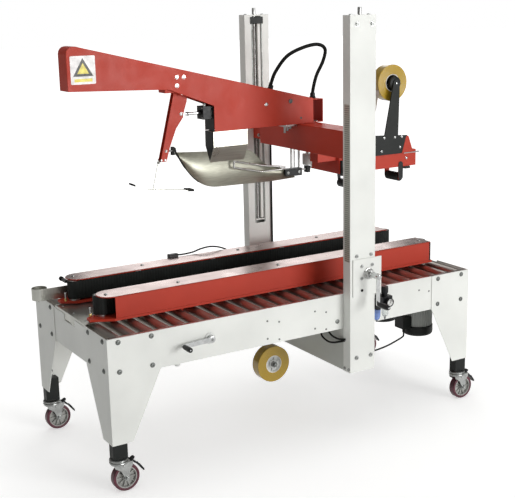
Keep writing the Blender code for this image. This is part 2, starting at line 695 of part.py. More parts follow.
def belt_motor(name, side):
    """Vertical gear motor under the drive pulley; its neck passes up between two rollers."""
    centre = (PULLEY_X, side * BELT_Y)
    x, y = centre
    fan = rod("Z", centre, MOTOR_RADIUS, 0.268, 0.312, 24)
    body = rod("Z", centre, MOTOR_RADIUS - 0.003, 0.311, 0.470, 24)
    gearbox = block((x - 0.042, x + 0.042), (y - 0.042, y + 0.042), (0.468, 0.560))
    neck = rod("Z", centre, 0.0095, 0.558, BASE_Z0 - GAP, 16)
    terminal = block((x - 0.112, x - 0.050), (y - 0.030, y + 0.030), (0.312, 0.366))
    finish(union(fan, body, gearbox, neck, terminal), name, "motor_grey")


def infeed_guide():
    """Guide sheet at the infeed of the far unit, ending in a rolled edge."""
    curl_mid = (-0.9225, 0.216)
    outline = [(-0.790, 0.187)] + arc(curl_mid, 0.029, -90, -370, 14)
    outline += arc(curl_mid, 0.032, -370, -90, 14) + [(-0.790, 0.184)]
    finish(prism(outline, "Z", BASE_Z1 + GAP, 0.690), "infeed_guide", "stainless")


# ---------------------------------------------------------------- services

def air_regulator():
    """Filter-regulator with its bowls, knob and gauge, on a lug from the near beam."""
    y = -0.420
    body = block((0.318, 0.402), (y - 0.022, y + 0.022), (0.543, 0.592))
    lug = block((0.335, 0.390), (y + 0.021, -BEAM_OUT - GAP), (0.555, 0.585))
    knob = rod("Z", (0.376, y), 0.015, 0.591, 0.632, 16)
    blue = rod("Z", (0.335, y), 0.0165, 0.487, 0.545, 16)
    clear = rod("Z", (0.379, y), 0.015, 0.490, 0.545, 16)
    gauge = rod("Y", (0.379, 0.566), 0.018, y - 0.040, y - 0.021, 16)
    finish(union(body, lug, knob, blue, clear, gauge), "air_regulator", "black_plastic")


def smooth_route(points, spacing):
    """Points at even spacing along a Catmull-Rom curve through the route's own points."""
    dense = []
    ends = [points[0]] + list(points) + [points[-1]]
    for i in range(1, len(ends) - 2):
        a, b, c, d = (Vector(p) for p in ends[i - 1:i + 3])
        for k in range(20):
            t = k / 20
            dense.append(0.5 * (2 * b + (c - a) * t + (2 * a - 5 * b + 4 * c - d) * t * t
                                + (3 * b - a - 3 * c + d) * t ** 3))
    dense.append(Vector(points[-1]))
    total = sum((q - p).length for p, q in zip(dense, dense[1:]))
    count = max(2, round(total / spacing))
    route = [dense[0]]
    travelled = 0.0
    for p, q in zip(dense, dense[1:]):
        travelled += (q - p).length
        if travelled >= total * len(route) / count and len(route) < count:
            route.append(q)
    route.append(dense[-1])
    return route


def cable(name, points, diameter, material):
    """Round tube along a smooth route."""
    curve = bpy.data.curves.new(name, "CURVE")
    curve.dimensions = "3D"
    curve.bevel_depth = diameter / 2
    curve.bevel_resolution = 2
    curve.use_fill_caps = True
    route = smooth_route(points, 2.5 * diameter)
    spline = curve.splines.new("POLY")
    spline.points.add(len(route) - 1)
    for point, place in zip(spline.points, route):
        point.co = (*place, 1.0)
    obj = bpy.data.objects.new(name, curve)
    bpy.context.scene.collection.objects.link(obj)
    finish(obj, name, material)


CONDUIT_ROUTE = [
    (0.080, 0.0, 1.4580), (0.088, 0.0, 1.480), (0.112, 0.0, 1.528), (0.172, 0.0, 1.590),
    (0.257, 0.0, 1.6229), (0.330, 0.0, 1.632), (0.368, 0.0, 1.610), (0.357, 0.0, 1.560),
    (0.322, 0.0, 1.500), (0.303, 0.0, 1.440), (0.300, 0.0, 1.4052),
]


def build():
    for obj in list(bpy.data.objects):
        bpy.data.objects.remove(obj)
    sides = (("near", -1), ("far", 1))
    ends = (("infeed", -1), ("outfeed", 1))
    end_panel("end_panel_infeed", -1, 0.055)
    end_panel("end_panel_outfeed", 1, 0.0)
    for side_name, side in sides:
        side_beam("side_beam_" + side_name, side)
        column("column_" + side_name, side)
        lift_screw("lift_screw_" + side_name, side)
        belt_base("belt_base_" + side_name, side)
        drive_belt("drive_belt_" + side_name, side)
        belt_cover("belt_cover_" + side_name, side)
        belt_motor("belt_motor_" + side_name, side)
        for end_name, end in ends:
            place = end_name + "_" + side_name
            leg("leg_" + place, end, side)
            leg_tube("leg_tube_" + place, end, side)
            caster_fork("caster_fork_" + place, end, side)
            caster_wheel("caster_wheel_" + place, end, side)
            caster_brake("caster_brake_" + place, end, side)
            pulley("belt_pulley_" + place, end, side)
    roller_bed()
    column_channel()
    lift_bracket()
    height_crank()
    width_crank()
    cross_beam()
    fold_arm()
    arm_shoe()
    kicker()
    kicker_cylinder()
    side_plough()
    upper_tape_frame()
    press_roller()
    tape_arm()
    tape_roll("tape_roll_upper", UPPER_ROLL)
    lower_tape_frame()
    tape_roll("tape_roll_lower", LOWER_ROLL)
    infeed_guide()
    air_regulator()
    cable("conduit", CONDUIT_ROUTE, 0.016, "black_rubber")


build()
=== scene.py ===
"""Looks of the carton sealing machine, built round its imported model.

Metres, +Z up; cartons travel along +X and the operator stands at -Y ("near"). Every place below is
measured from the middle of the roller bed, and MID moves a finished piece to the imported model's frame.
"""
import json
import math

import bmesh
import bpy
from mathutils import Matrix, Vector

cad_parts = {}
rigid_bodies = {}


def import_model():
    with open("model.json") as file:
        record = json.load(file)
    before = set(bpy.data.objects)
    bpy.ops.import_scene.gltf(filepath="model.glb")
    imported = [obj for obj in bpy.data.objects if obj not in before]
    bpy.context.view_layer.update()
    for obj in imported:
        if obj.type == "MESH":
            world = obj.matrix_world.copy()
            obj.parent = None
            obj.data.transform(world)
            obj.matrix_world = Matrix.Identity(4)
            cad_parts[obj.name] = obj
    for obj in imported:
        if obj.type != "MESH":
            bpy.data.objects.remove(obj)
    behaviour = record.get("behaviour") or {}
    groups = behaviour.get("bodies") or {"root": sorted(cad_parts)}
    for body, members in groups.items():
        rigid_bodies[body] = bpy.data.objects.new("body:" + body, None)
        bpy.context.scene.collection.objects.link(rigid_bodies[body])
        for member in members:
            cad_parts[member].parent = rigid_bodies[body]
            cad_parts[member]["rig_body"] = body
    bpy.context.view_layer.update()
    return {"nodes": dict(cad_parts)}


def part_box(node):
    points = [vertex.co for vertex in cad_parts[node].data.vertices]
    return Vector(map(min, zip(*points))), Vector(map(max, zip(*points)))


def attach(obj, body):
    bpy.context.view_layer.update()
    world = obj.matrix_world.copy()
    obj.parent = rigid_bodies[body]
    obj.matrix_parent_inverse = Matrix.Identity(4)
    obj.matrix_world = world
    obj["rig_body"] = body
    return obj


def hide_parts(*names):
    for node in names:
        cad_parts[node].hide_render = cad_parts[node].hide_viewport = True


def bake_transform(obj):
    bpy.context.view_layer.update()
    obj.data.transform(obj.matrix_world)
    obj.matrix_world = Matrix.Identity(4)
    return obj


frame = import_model()
SCENE = bpy.context.scene
BED_LO, BED_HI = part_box("roller_bed")
MID = Vector((0.0, (BED_LO.y + BED_HI.y) / 2, 0.0))
SMOOTH = math.radians(35)           # flatter edges than this are shaded smooth
SIDES = {"near": -1, "far": 1}
ENDS = {"infeed": -1, "outfeed": 1}
NEAR, FAR, UP, DOWN = (0, -1, 0), (0, 1, 0), (0, 0, 1), (0, 0, -1)
CAMERA_PLACE = Vector((-2.2796, -3.7946, 1.8237))
CAMERA_TURN = (-31.02, 13.45, -1.24)    # azimuth, elevation and roll in degrees
LENS, SENSOR = 72.68, 36.0              # millimetres
LIGHTS = (                              # name, place, target, size, power
    ("key", (3.4, -8.4, 1.9), (0, 0, 0.8), (4.5, 3.2), 470),
    ("overhead", (0.3, 0.2, 5.5), (0.1, 0, 0), (6.0, 5.0), 90),
    ("rim", (2.5, 4.5, 3.0), (0, 0, 0.9), (3.0, 2.5), 45),
)
FLOOR_HALF = 40
FLOOR_COLOUR = (0.84, 0.84, 0.835)
FLOOR_GLOW = {"From_Min": 1.0, "From_Max": 6.0, "To_Min": 0.5, "To_Max": 1.0}
FLOOR_GLOW_ON_OBJECT = 0.22             # what the machine receives from the floor's own light
HORIZON, ZENITH = (0.13, 0.13, 0.125, 1), (0.3, 0.3, 0.295, 1)
PULLEY_X = 0.800                        # belt pulleys from the middle of the bed
ROLLER_PITCH, ROLLER_COUNT = 0.0696, 25
PIVOT_X, PIVOT_Z = -0.358, 1.466        # kicker's swing axis
RULE_SPAN = (0.762, 1.411)
PLOUGH_START, PLOUGH_LENGTH = -0.31, 0.56
HOSE_X, HOSE_Y = 0.3125, 0.3745         # air hose inside the far column


def box(node):
    """Lowest and highest corner of a CAD node, measured from the middle of the bed."""
    lo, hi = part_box(node)
    return lo - MID, hi - MID


def middle_of(node):
    """Centre of a CAD node's box."""
    lo, hi = box(node)
    return (lo + hi) / 2


# ---------------------------------------------------------------- camera, floor and light

def add_camera():
    """Camera with its axes worked out from azimuth, elevation and roll."""
    data = bpy.data.cameras.new("camera")
    data.lens, data.sensor_width, data.clip_end = LENS, SENSOR, 100
    camera = bpy.data.objects.new("camera", data)
    SCENE.collection.objects.link(camera)
    azimuth, elevation, roll = (math.radians(a) for a in CAMERA_TURN)
    level = math.cos(elevation)
    back = Vector((math.sin(azimuth) * level, -math.cos(azimuth) * level, math.sin(elevation)))
    right = (-back).cross(Vector(UP)).normalized()
    up = right.cross(-back)
    axes = (math.cos(roll) * right + math.sin(roll) * up, math.cos(roll) * up - math.sin(roll) * right,
        back)
    camera.matrix_world = Matrix.Translation(CAMERA_PLACE + MID) @ Matrix(axes).transposed().to_4x4()
    SCENE.camera = camera


def add_area_light(name, place, target, size, power):
    """Rectangular light that faces its target."""
    data = bpy.data.lights.new(name, "AREA")
    data.shape = "RECTANGLE"
    data.size, data.size_y = size
    data.energy = power
    light = bpy.data.objects.new(name, data)
    SCENE.collection.objects.link(light)
    light.location = place
    light.rotation_euler = (Vector(target) - Vector(place)).to_track_quat("-Z", "Y").to_euler()


def add_floor():
    """Pale floor that glows a little, more with distance, so that it meets the white surround."""
    bm = bmesh.new()
    bmesh.ops.create_grid(bm, x_segments=2, y_segments=2, size=FLOOR_HALF)
    mesh = bpy.data.meshes.new("floor")
    bm.to_mesh(mesh)
    bm.free()
    floor = bpy.data.objects.new("floor", mesh)
    SCENE.collection.objects.link(floor)
    mat = material("floor_pale", FLOOR_COLOUR, 0.9, Specular_IOR_Level=0.1, Emission_Color=(1, 1, 1, 1))
    coords = add_node(mat, "ShaderNodeTexCoord")
    reach = add_node(mat, "ShaderNodeVectorMath")
    reach.operation = "LENGTH"
    glow = add_node(mat, "ShaderNodeMapRange", **FLOOR_GLOW)
    rays = add_node(mat, "ShaderNodeLightPath")
    seen = add_node(mat, "ShaderNodeMix", A=FLOOR_GLOW_ON_OBJECT)
    link(mat, (coords.outputs["Object"], reach.inputs[0]), (reach.outputs["Value"],
        glow.inputs["Value"]), (rays.outputs["Is Camera Ray"], seen.inputs["Factor"]),
        (glow.outputs["Result"], seen.inputs["B"]), (seen.outputs["Result"],
        shader_of(mat).inputs["Emission Strength"]))
    mesh.materials.append(mat)


def add_studio():
    """White surround that lights the machine softly from above, and the three area lights."""
    world = bpy.data.worlds.new("studio")
    world.use_nodes = True
    background = world.node_tree.nodes["Background"]
    background.inputs["Strength"].default_value = 1.0
    coords = add_node(world, "ShaderNodeTexCoord")
    split = add_node(world, "ShaderNodeSeparateXYZ")
    ramp = add_node(world, "ShaderNodeValToRGB")
    for stop, position, colour in zip(ramp.color_ramp.elements, (0.0, 1.0), (HORIZON, ZENITH)):
        stop.position, stop.color = position, colour
    rays = add_node(world, "ShaderNodeLightPath")
    mix = add_node(world, "ShaderNodeMix")
    mix.data_type = "RGBA"
    mix.inputs["B"].default_value = (1, 1, 1, 1)
    link(world, (coords.outputs["Generated"], split.inputs["Vector"]),
        (split.outputs["Z"], ramp.inputs["Fac"]), (rays.outputs["Is Camera Ray"], mix.inputs["Factor"]),
        (ramp.outputs["Color"], mix.inputs["A"]), (mix.outputs["Result"], background.inputs["Color"]))
    SCENE.world = world
    for light in LIGHTS:
        add_area_light(*light)
    SCENE.view_settings.view_transform = "Standard"


# ---------------------------------------------------------------- materials

def shader_of(mat):
    """The Principled shader of a material."""
    return mat.node_tree.nodes["Principled BSDF"]


def material(name, colour, roughness, metallic=0.0, **sockets):
    """A surface with its even values set on the shader's own sockets."""
    mat = bpy.data.materials.new(name)
    mat.use_nodes = True
    shader = shader_of(mat)
    shader.inputs["Base Color"].default_value = (*colour, 1)
    shader.inputs["Roughness"].default_value = roughness
    shader.inputs["Metallic"].default_value = metallic
    for socket, value in sockets.items():
        shader.inputs[socket.replace("_", " ")].default_value = value
    return mat


def add_node(owner, kind, **inputs):
    """A node in the tree of a material or world, with inputs set by name (_ stands for a space)."""
    node = owner.node_tree.nodes.new(kind)
    for name, value in inputs.items():
        node.inputs[name.replace("_", " ")].default_value = value
    return node


def link(owner, *pairs):
    """Join each pair of an output and an input."""
    for output, socket in pairs:
        owner.node_tree.links.new(output, socket)


def object_coords(mat, stretch=(1, 1, 1), offset=(0, 0, 0)):
    """The object's own coordinates, moved and then stretched."""
    coords = add_node(mat, "ShaderNodeTexCoord")
    mapping = add_node(mat, "ShaderNodeMapping", Scale=stretch, Location=offset)
    link(mat, (coords.outputs["Object"], mapping.inputs["Vector"]))
    return mapping.outputs["Vector"]


def noise(mat, scale, stretch=(1, 1, 1), detail=3.0):
    """Noise in the object's own coordinates."""
    texture = add_node(mat, "ShaderNodeTexNoise", Scale=scale, Detail=detail)
    link(mat, (object_coords(mat, stretch), texture.inputs["Vector"]))
    return texture.outputs["Fac"]


def vary_colour(mat, factor, low, high, span=(0.35, 0.65)):
    """Base colour from low to high as the factor crosses the span."""
    ramp = add_node(mat, "ShaderNodeValToRGB")
    for stop, position, colour in zip(ramp.color_ramp.elements, span, (low, high)):
        stop.position = position
        stop.color = (*colour, 1)
    link(mat, (factor, ramp.inputs["Fac"]))
    link(mat, (ramp.outputs["Color"], shader_of(mat).inputs["Base Color"]))


def vary_roughness(mat, factor, low, high):
    """Roughness from low to high over the noise's middle range."""
    span = add_node(mat, "ShaderNodeMapRange", From_Min=0.3, From_Max=0.7, To_Min=low, To_Max=high)
    link(mat, (factor, span.inputs["Value"]), (span.outputs["Result"],
        shader_of(mat).inputs["Roughness"]))


def add_bump(mat, factor, depth):
    """Relief of that depth in metres, on top of any relief the surface already has."""
    bump = add_node(mat, "ShaderNodeBump", Distance=depth)
    normal = shader_of(mat).inputs["Normal"]
    if normal.links:
        link(mat, (normal.links[0].from_socket, bump.inputs["Normal"]))
    link(mat, (factor, bump.inputs["Height"]))
    link(mat, (bump.outputs["Normal"], normal))


def scaled(colour, factor):
    """A colour made lighter or darker."""
    return tuple(c * factor for c in colour)


def paint(name, colour, roughness=0.4, specular=0.4):
    """Powder coat: orange peel, slow changes of tone and a little uneven gloss."""
    mat = material(name, colour, roughness, Specular_IOR_Level=specular)
    vary_colour(mat, noise(mat, 4.0), scaled(colour, 0.93), scaled(colour, 1.05), (0.3, 0.7))
    vary_roughness(mat, noise(mat, 14.0), roughness - 0.06, roughness + 0.08)
    add_bump(mat, noise(mat, 420.0, detail=1.0), 0.00006)
    return mat


def brushed(name, colour, roughness, grain, depth=0.00003):
    """Brushed sheet; grain is small along the brushing and large across it."""
    mat = material(name, colour, roughness, 1.0)
    streaks = noise(mat, 1.0, grain)
    vary_colour(mat, streaks, scaled(colour, 0.86), scaled(colour, 1.08))
    vary_roughness(mat, noise(mat, 9.0), roughness - 0.05, roughness + 0.12)
    add_bump(mat, streaks, depth)
    return mat


def plated(name, colour, roughness):
    """Zinc or chrome plate with a faint mottle and fine scratches."""
    mat = material(name, colour, roughness, 1.0)
    vary_colour(mat, noise(mat, 60.0), scaled(colour, 0.85), scaled(colour, 1.06))
    vary_roughness(mat, noise(mat, 45.0), roughness * 0.8, roughness * 1.5)
    add_bump(mat, noise(mat, 700.0, (1, 4, 1)), 0.00002)
    return mat


def moulded(name, colour, roughness, grain=900.0, depth=0.00004, **sockets):
    """Plastic or rubber with a fine moulded texture."""
    mat = material(name, colour, roughness, **sockets)
    vary_colour(mat, noise(mat, 35.0), scaled(colour, 0.8), scaled(colour, 1.25))
    vary_roughness(mat, noise(mat, 60.0), roughness - 0.06, roughness + 0.08)
    add_bump(mat, noise(mat, grain, detail=1.0), depth)
    return mat


def wound_tape(name, colour, centre):
    """Amber film wound in rings round an axis along Y."""
    mat = material(name, colour, 0.22, Coat_Weight=0.5, Coat_Roughness=0.08)
    rings = add_node(mat, "ShaderNodeTexWave", Scale=95.0, Distortion=1.2, Detail=2.0)
    rings.wave_type = "RINGS"
    rings.rings_direction = "Y"
    rings.inputs["Detail Scale"].default_value = 6.0
    offset = [-c for c in centre]
    link(mat, (object_coords(mat, offset=offset), rings.inputs["Vector"]))
    vary_colour(mat, rings.outputs["Fac"], scaled(colour, 0.82), scaled(colour, 1.12), (0.2, 0.8))
    add_bump(mat, rings.outputs["Fac"], 0.00012)
    add_bump(mat, noise(mat, 6.0, (1, 30, 1)), 0.0002)
    return mat


def ruled(name, colour, mark, pitch, share):
    """Steel rule: a dark mark every pitch up the strip."""
    mat = material(name, colour, 0.35, 0.2)
    split = add_node(mat, "ShaderNodeSeparateXYZ")
    link(mat, (object_coords(mat), split.inputs["Vector"]))
    value = split.outputs["Z"]
    for operation, number in (("MODULO", pitch), ("LESS_THAN", pitch * share)):
        step = add_node(mat, "ShaderNodeMath")
        step.operation = operation
        step.inputs[1].default_value = number
        link(mat, (value, step.inputs[0]))
        value = step.outputs["Value"]
    vary_colour(mat, value, colour, mark, (0.0, 1.0))
    vary_roughness(mat, noise(mat, 30.0), 0.3, 0.45)
    return mat


WHITE = (0.8, 0.81, 0.775)
RED = (0.5, 0.042, 0.02)
M = {
    "white": paint("white_paint", WHITE, 0.42),
    "red": paint("red_paint", RED, 0.42, 0.25),
    # Column channel: white paint made grey, painted shade for the shadow under the bed.
    "grey": paint("grey_paint", (0.56, 0.575, 0.54), 0.5),
    "black_paint": paint("black_paint", (0.010, 0.012, 0.011), 0.42, 0.25),
    "stainless": brushed("stainless_sheet", (0.62, 0.61, 0.54), 0.30, (6, 500, 500)),
    "satin": brushed("satin_sheet", (0.50, 0.50, 0.42), 0.46, (6, 300, 300)),
    "stainless_up": brushed("stainless_upright", (0.62, 0.62, 0.57), 0.32, (500, 500, 6)),
    # Polished steel tinted pink-brown: a painted reflection of the red parts round it.
    "top_steel_painted_reflection": brushed("top_sheet_painted_red_reflection", (0.46, 0.36, 0.34), 0.24, (5, 300, 5)),
    # Roller steel tinted brown: a painted reflection of the red skirt beside the rollers.
    "roller_steel_painted_reflection": brushed("roller_steel_painted_reflection", (0.40, 0.36, 0.33), 0.36, (300, 12, 300)),
    "steel": plated("machined_steel", (0.55, 0.55, 0.54), 0.30),
    "zinc": plated("zinc_plate", (0.46, 0.47, 0.46), 0.30),
    "dark_zinc": plated("dark_zinc", (0.22, 0.23, 0.22), 0.38),
    "chrome": plated("chrome", (0.66, 0.67, 0.67), 0.12),
    "brass": plated("brass", (0.72, 0.52, 0.20), 0.26),
    "polyurethane": moulded("polyurethane", (0.085, 0.009, 0.022), 0.36, Coat_Weight=0.3),
    "hub": moulded("wheel_hub", (0.36, 0.36, 0.34), 0.45),
    "belt": moulded("belt_rubber", (0.009, 0.011, 0.010), 0.60, 500.0, 0.0001, Specular_IOR_Level=0.25),
    "rubber": moulded("black_rubber", (0.007, 0.008, 0.007), 0.60, 600.0, 0.00008, Specular_IOR_Level=0.25),
    "plastic": moulded("black_plastic", (0.008, 0.009, 0.010), 0.38, Specular_IOR_Level=0.3),
    "light_plastic": moulded("light_plastic", (0.62, 0.63, 0.61), 0.35),
    "core": moulded("card_core", (0.74, 0.72, 0.66), 0.7, 300.0),
    "motor": paint("motor_paint", (0.50, 0.52, 0.50), 0.45),
    "blue_bowl": moulded("blue_polycarbonate", (0.28, 0.42, 0.86), 0.15, Transmission_Weight=0.55),
    "clear_bowl": moulded("clear_polycarbonate", (0.82, 0.85, 0.84), 0.12, Transmission_Weight=0.8),
    "lens": material("gauge_lens", (1, 1, 1), 0.03, Transmission_Weight=1.0),
    "dial": moulded("dial_face", (0.85, 0.85, 0.82), 0.5),
    "card": moulded("sticker_card", (0.80, 0.77, 0.76), 0.3),
    "yellow": moulded("sticker_yellow", (0.75, 0.62, 0.03), 0.3),
    # Black for print, and also painted shade: discs that stand for the dark inside of two holes in the arm.
    "ink_and_painted_shade": moulded("sticker_black_and_painted_shade", (0.02, 0.02, 0.015), 0.35),
    "web": moulded("tape_film", (0.80, 0.76, 0.66), 0.2, Transmission_Weight=0.35),
    "rule": ruled("steel_rule", (0.52, 0.53, 0.47), (0.22, 0.23, 0.20), 0.0085, 0.38),
}


# ---------------------------------------------------------------- shapes

def arc(centre, radius, start, end, steps):
    """Points along an arc in a plane, angles in degrees."""
    points = []
    for i in range(steps + 1):
        angle = math.radians(start + (end - start) * i / steps)
        points.append((centre[0] + radius * math.cos(angle), centre[1] + radius * math.sin(angle)))
    return points


def slot_outline(a, b, radius, steps=8):
    """Outline with round ends about two points."""
    heading = math.degrees(math.atan2(b[1] - a[1], b[0] - a[0]))
    return arc(b, radius, heading - 90, heading + 90, steps) + arc(a, radius, heading + 90,
        heading + 270, steps)


def strip_outline(points, thickness):
    """Outline of a bent strip to the left of a line through points."""
    left = []
    for i, point in enumerate(points):
        before = Vector(points[max(i - 1, 0)])
        after = Vector(points[min(i + 1, len(points) - 1)])
        heading = (after - before).normalized()
        left.append((point[0] - heading.y * thickness, point[1] + heading.x * thickness))
    return list(points) + left[::-1]


def smooth_route(points, spacing):
    """Points at even spacing along a Catmull-Rom curve through the route's own points."""
    dense = []
    ends = [points[0]] + list(points) + [points[-1]]
    for i in range(1, len(ends) - 2):
        a, b, c, d = (Vector(p) for p in ends[i - 1:i + 3])
        for k in range(20):
            t = k / 20
            dense.append(0.5 * (2 * b + (c - a) * t + (2 * a - 5 * b + 4 * c - d) * t * t + (
                3 * b - a - 3 * c + d) * t ** 3))
    dense.append(Vector(points[-1]))
    lengths = [(q - p).length for p, q in zip(dense, dense[1:])]
    count = max(2, round(sum(lengths) / spacing))
    step = sum(lengths) / count
    route = [dense[0]]
    travelled = 0.0
    for p, q, length in zip(dense, dense[1:], lengths):
        while len(route) < count and travelled + length >= step * len(route):
            route.append(p.lerp(q, (step * len(route) - travelled) / length))
        travelled += length
    return route + [dense[-1]]


def axes_of(direction):
    """The direction and two others across it, all of unit length."""
    along = Vector(direction).normalized()
    helper = Vector(UP) if abs(along.z) < 0.9 else Vector((1, 0, 0))
    first = along.cross(helper).normalized()
    return along, first, along.cross(first)


def spokes(count, start=0.0, flat=False):
    """Unit vectors spread evenly round the Y axis, or round Z where flat."""
    for k in range(count):
        angle = start + 2 * math.pi * k / count
        x, other = math.cos(angle), math.sin(angle)
        yield Vector((x, other, 0) if flat else (x, 0, other))


class Solid:
    """One piece under construction: closed shapes, each with a material number."""

    def __init__(self):
        self.bm = bmesh.new()
        self.number = 0

    def use(self, number):
        """The next shapes take this material of the piece."""
        self.number = number
        return self

    def loft(self, rings, loop=False):
        """Skin through rings of points; one point is a pole, and loop joins the last ring to the first."""
        rows = [[self.bm.verts.new(p) for p in ring] for ring in rings]
        pairs = list(zip(rows, rows[1:])) + ([(rows[-1], rows[0])] if loop else [])
        for a, b in pairs:
            count = max(len(a), len(b))
            for i in range(count):
                j = (i + 1) % count
                corners = [a[i % len(a)], a[j % len(a)], b[j % len(b)], b[i % len(b)]]
                self.bm.faces.new(list(dict.fromkeys(corners))).material_index = self.number
        if not loop:
            for row in (rows[0], rows[-1]):
                if len(row) > 2:
                    self.bm.faces.new(row).material_index = self.number
        return self

    def prism(self, outline, axis, start, end):
        """An outline in the plane across axis, extruded from start to end."""
        order = {"X": (2, 0, 1), "Y": (0, 2, 1), "Z": (0, 1, 2)}[axis]
        rings = [[tuple((a, b, c)[k] for k in order) for a, b in outline] for c in (start, end)]
        return self.loft(rings)

    def block(self, x, y, z):
        """A box between two values on each axis."""
        return self.prism([(x[0], y[0]), (x[1], y[0]), (x[1], y[1]), (x[0], y[1])], "Z", z[0], z[1])

    def bar(self, start, end, width, height, up=UP):
        """A square bar between two points, width across and height along up."""
        start, end = Vector(start), Vector(end)
        along = (end - start).normalized()
        across = along.cross(Vector(up)).normalized() * (width / 2)
        rise = across.cross(along).normalized() * (height / 2)
        rings = [[p - across - rise, p + across - rise, p + across + rise,
            p - across + rise] for p in (start, end)]
        return self.loft(rings)

    def lathe(self, profile, origin, direction, segments=24, loop=False):
        """A profile of (radius, distance[, flats]) spun about a line; flats makes that ring a polygon."""
        along, first, second = axes_of(direction)
        rings = []
        for radius, distance, *flats in profile:
            centre = Vector(origin) + along * distance
            ring = []
            for i in range(segments if radius > 0 else 1):
                angle = 2 * math.pi * i / segments
                reach = radius
                if flats:
                    part = math.pi / flats[0]
                    reach *= math.cos(part) / math.cos(angle % (2 * part) - part)
                ring.append(centre + reach * (math.cos(angle) * first + math.sin(angle) * second))
            rings.append(ring)
        return self.loft(rings, loop)

    def turn(self, profile, *place, **options):
        """Lathe with its profile in millimetres; a third number still counts flats."""
        metres = [(radius / 1000, distance / 1000, *flats) for radius, distance, *flats in profile]
        return self.lathe(metres, *place, **options)

    def collar(self, inner, outer, half, centre, segments):
        """A ring round the Y axis, half its width to each side of its centre."""
        return self.lathe([(inner, -half), (outer, -half), (outer, half), (inner, half)], centre, FAR,
            segments, True)

    def rod(self, radius, length, origin, direction, segments):
        """A plain round bar."""
        return self.lathe([(0, 0), (radius, 0), (radius, length), (0, length)], origin, direction,
            segments)

    def tube(self, path, radius, sides=12):
        """A round tube along points; radius is a number or a function of the point's number."""
        points = [Vector(p) for p in path]
        rings = []
        across = None
        for i, point in enumerate(points):
            along = (points[min(i + 1, len(points) - 1)] - points[max(i - 1, 0)]).normalized()
            if across is None:
                across = along.cross(Vector((0, 1, 0.3))).normalized()
            across = (across - along * across.dot(along)).normalized()
            second = along.cross(across)
            reach = radius(i) if callable(radius) else radius
            rings.append([point + reach * (math.cos(a) * across + math.sin(a) * second) for a in (
                2 * math.pi * k / sides for k in range(sides))])
        return self.loft(rings)

    def thread(self, origin, direction, length, radius, pitch, depth=0.0011, segments=16, per_turn=8):
        """A round bar with a screw thread."""
        along, first, second = axes_of(direction)
        rings = []
        steps = round(length / pitch * per_turn)
        for i in range(steps + 1):
            distance = length * i / steps
            ring = []
            for k in range(segments):
                phase = (distance / pitch - k / segments) % 1.0
                reach = radius - depth * min(1.0, max(0.0, 2.5 * abs(2 * phase - 1) - 0.75))
                angle = 2 * math.pi * k / segments
                ring.append(Vector(origin) + along * distance + reach * (
                    math.cos(angle) * first + math.sin(angle) * second))
            rings.append(ring)
        return self.loft(rings)

    def button_bolt(self, place, normal, radius=0.0088, height=0.005):
        """Domed socket-head bolt on a washer."""
        washer = radius * 1.18
        return self.lathe([(0, 0), (washer, 0), (washer, 0.0012), (radius, 0.0013), (radius, 0.0022),
            (radius * 0.88, height * 0.8), (radius * 0.66, height), (radius * 0.44, height, 6),
            (radius * 0.42, height * 0.45, 6), (0, height * 0.4)], place, normal, 24)

    def cap_screw(self, place, normal, radius=0.0068, height=0.0065):
        """Cylindrical socket-head screw on a wide washer."""
        washer = radius * 1.45
        return self.lathe([(0, 0), (washer, 0), (washer, 0.0015), (radius, 0.0016),
            (radius, height * 0.88), (radius * 0.9, height), (radius * 0.6, height, 6),
            (radius * 0.57, height * 0.4, 6), (0, height * 0.36)], place, normal, 24)

    def hex_bolt(self, place, normal, radius=0.0075, height=0.006):
        """Hexagon head with a chamfered top on a washer."""
        washer = radius * 1.25
        return self.lathe([(0, 0), (washer, 0), (washer, 0.0014), (radius, 0.0015, 6),
            (radius, height * 0.85, 6), (radius * 0.84, height), (0, height)], place, normal, 24)

    def small_screw(self, place, normal, radius=0.0042, height=0.0022):
        """Small pan head with a drive recess."""
        return self.lathe([(0, 0), (radius, 0), (radius * 0.92, height * 0.7), (radius * 0.6, height),
            (radius * 0.34, height, 4), (radius * 0.26, height * 0.4, 4), (0, height * 0.3)], place,
            normal, 16)

    def piece(self, name, body, materials, slot, replaces=False, bevel=0.0):
        """Make the object and let it ride on its body, in place of its slot's node if it replaces that."""
        bmesh.ops.recalc_face_normals(self.bm, faces=self.bm.faces)
        mesh = bpy.data.meshes.new(name)
        self.bm.to_mesh(mesh)
        self.bm.free()
        mesh.transform(Matrix.Translation(MID))
        for key in materials:
            mesh.materials.append(M[key])
        mesh.shade_smooth()
        mesh.set_sharp_from_angle(angle=SMOOTH)
        obj = bpy.data.objects.new(name, mesh)
        SCENE.collection.objects.link(obj)
        if bevel:
            round_edges(obj, bevel)
        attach(obj, body)
        if replaces:
            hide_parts(slot)
        return obj


def round_edges(obj, width):
    """Rounded edges with flat faces shaded flat."""
    bevel = obj.modifiers.new("rounded", "BEVEL")
    bevel.width = width
    bevel.segments = 2
    bevel.limit_method = "ANGLE"
    bevel.angle_limit = SMOOTH
    bevel.use_clamp_overlap = True
    normals = obj.modifiers.new("normals", "WEIGHTED_NORMAL")
    normals.keep_sharp = True


def dress(node, key, bevel):
    """Give a CAD node its finish and rounded edges; its own mesh stays as it is."""
    obj = frame["nodes"][node]
    obj.data.materials.clear()
    obj.data.materials.append(M[key])
    weld = obj.modifiers.new("weld", "WELD")
    weld.merge_threshold = 0.00001
    flat = obj.modifiers.new("flat", "DECIMATE")
    flat.decimate_type = "DISSOLVE"
    flat.angle_limit = math.radians(0.5)
    round_edges(obj, bevel)


# ---------------------------------------------------------------- bed frame

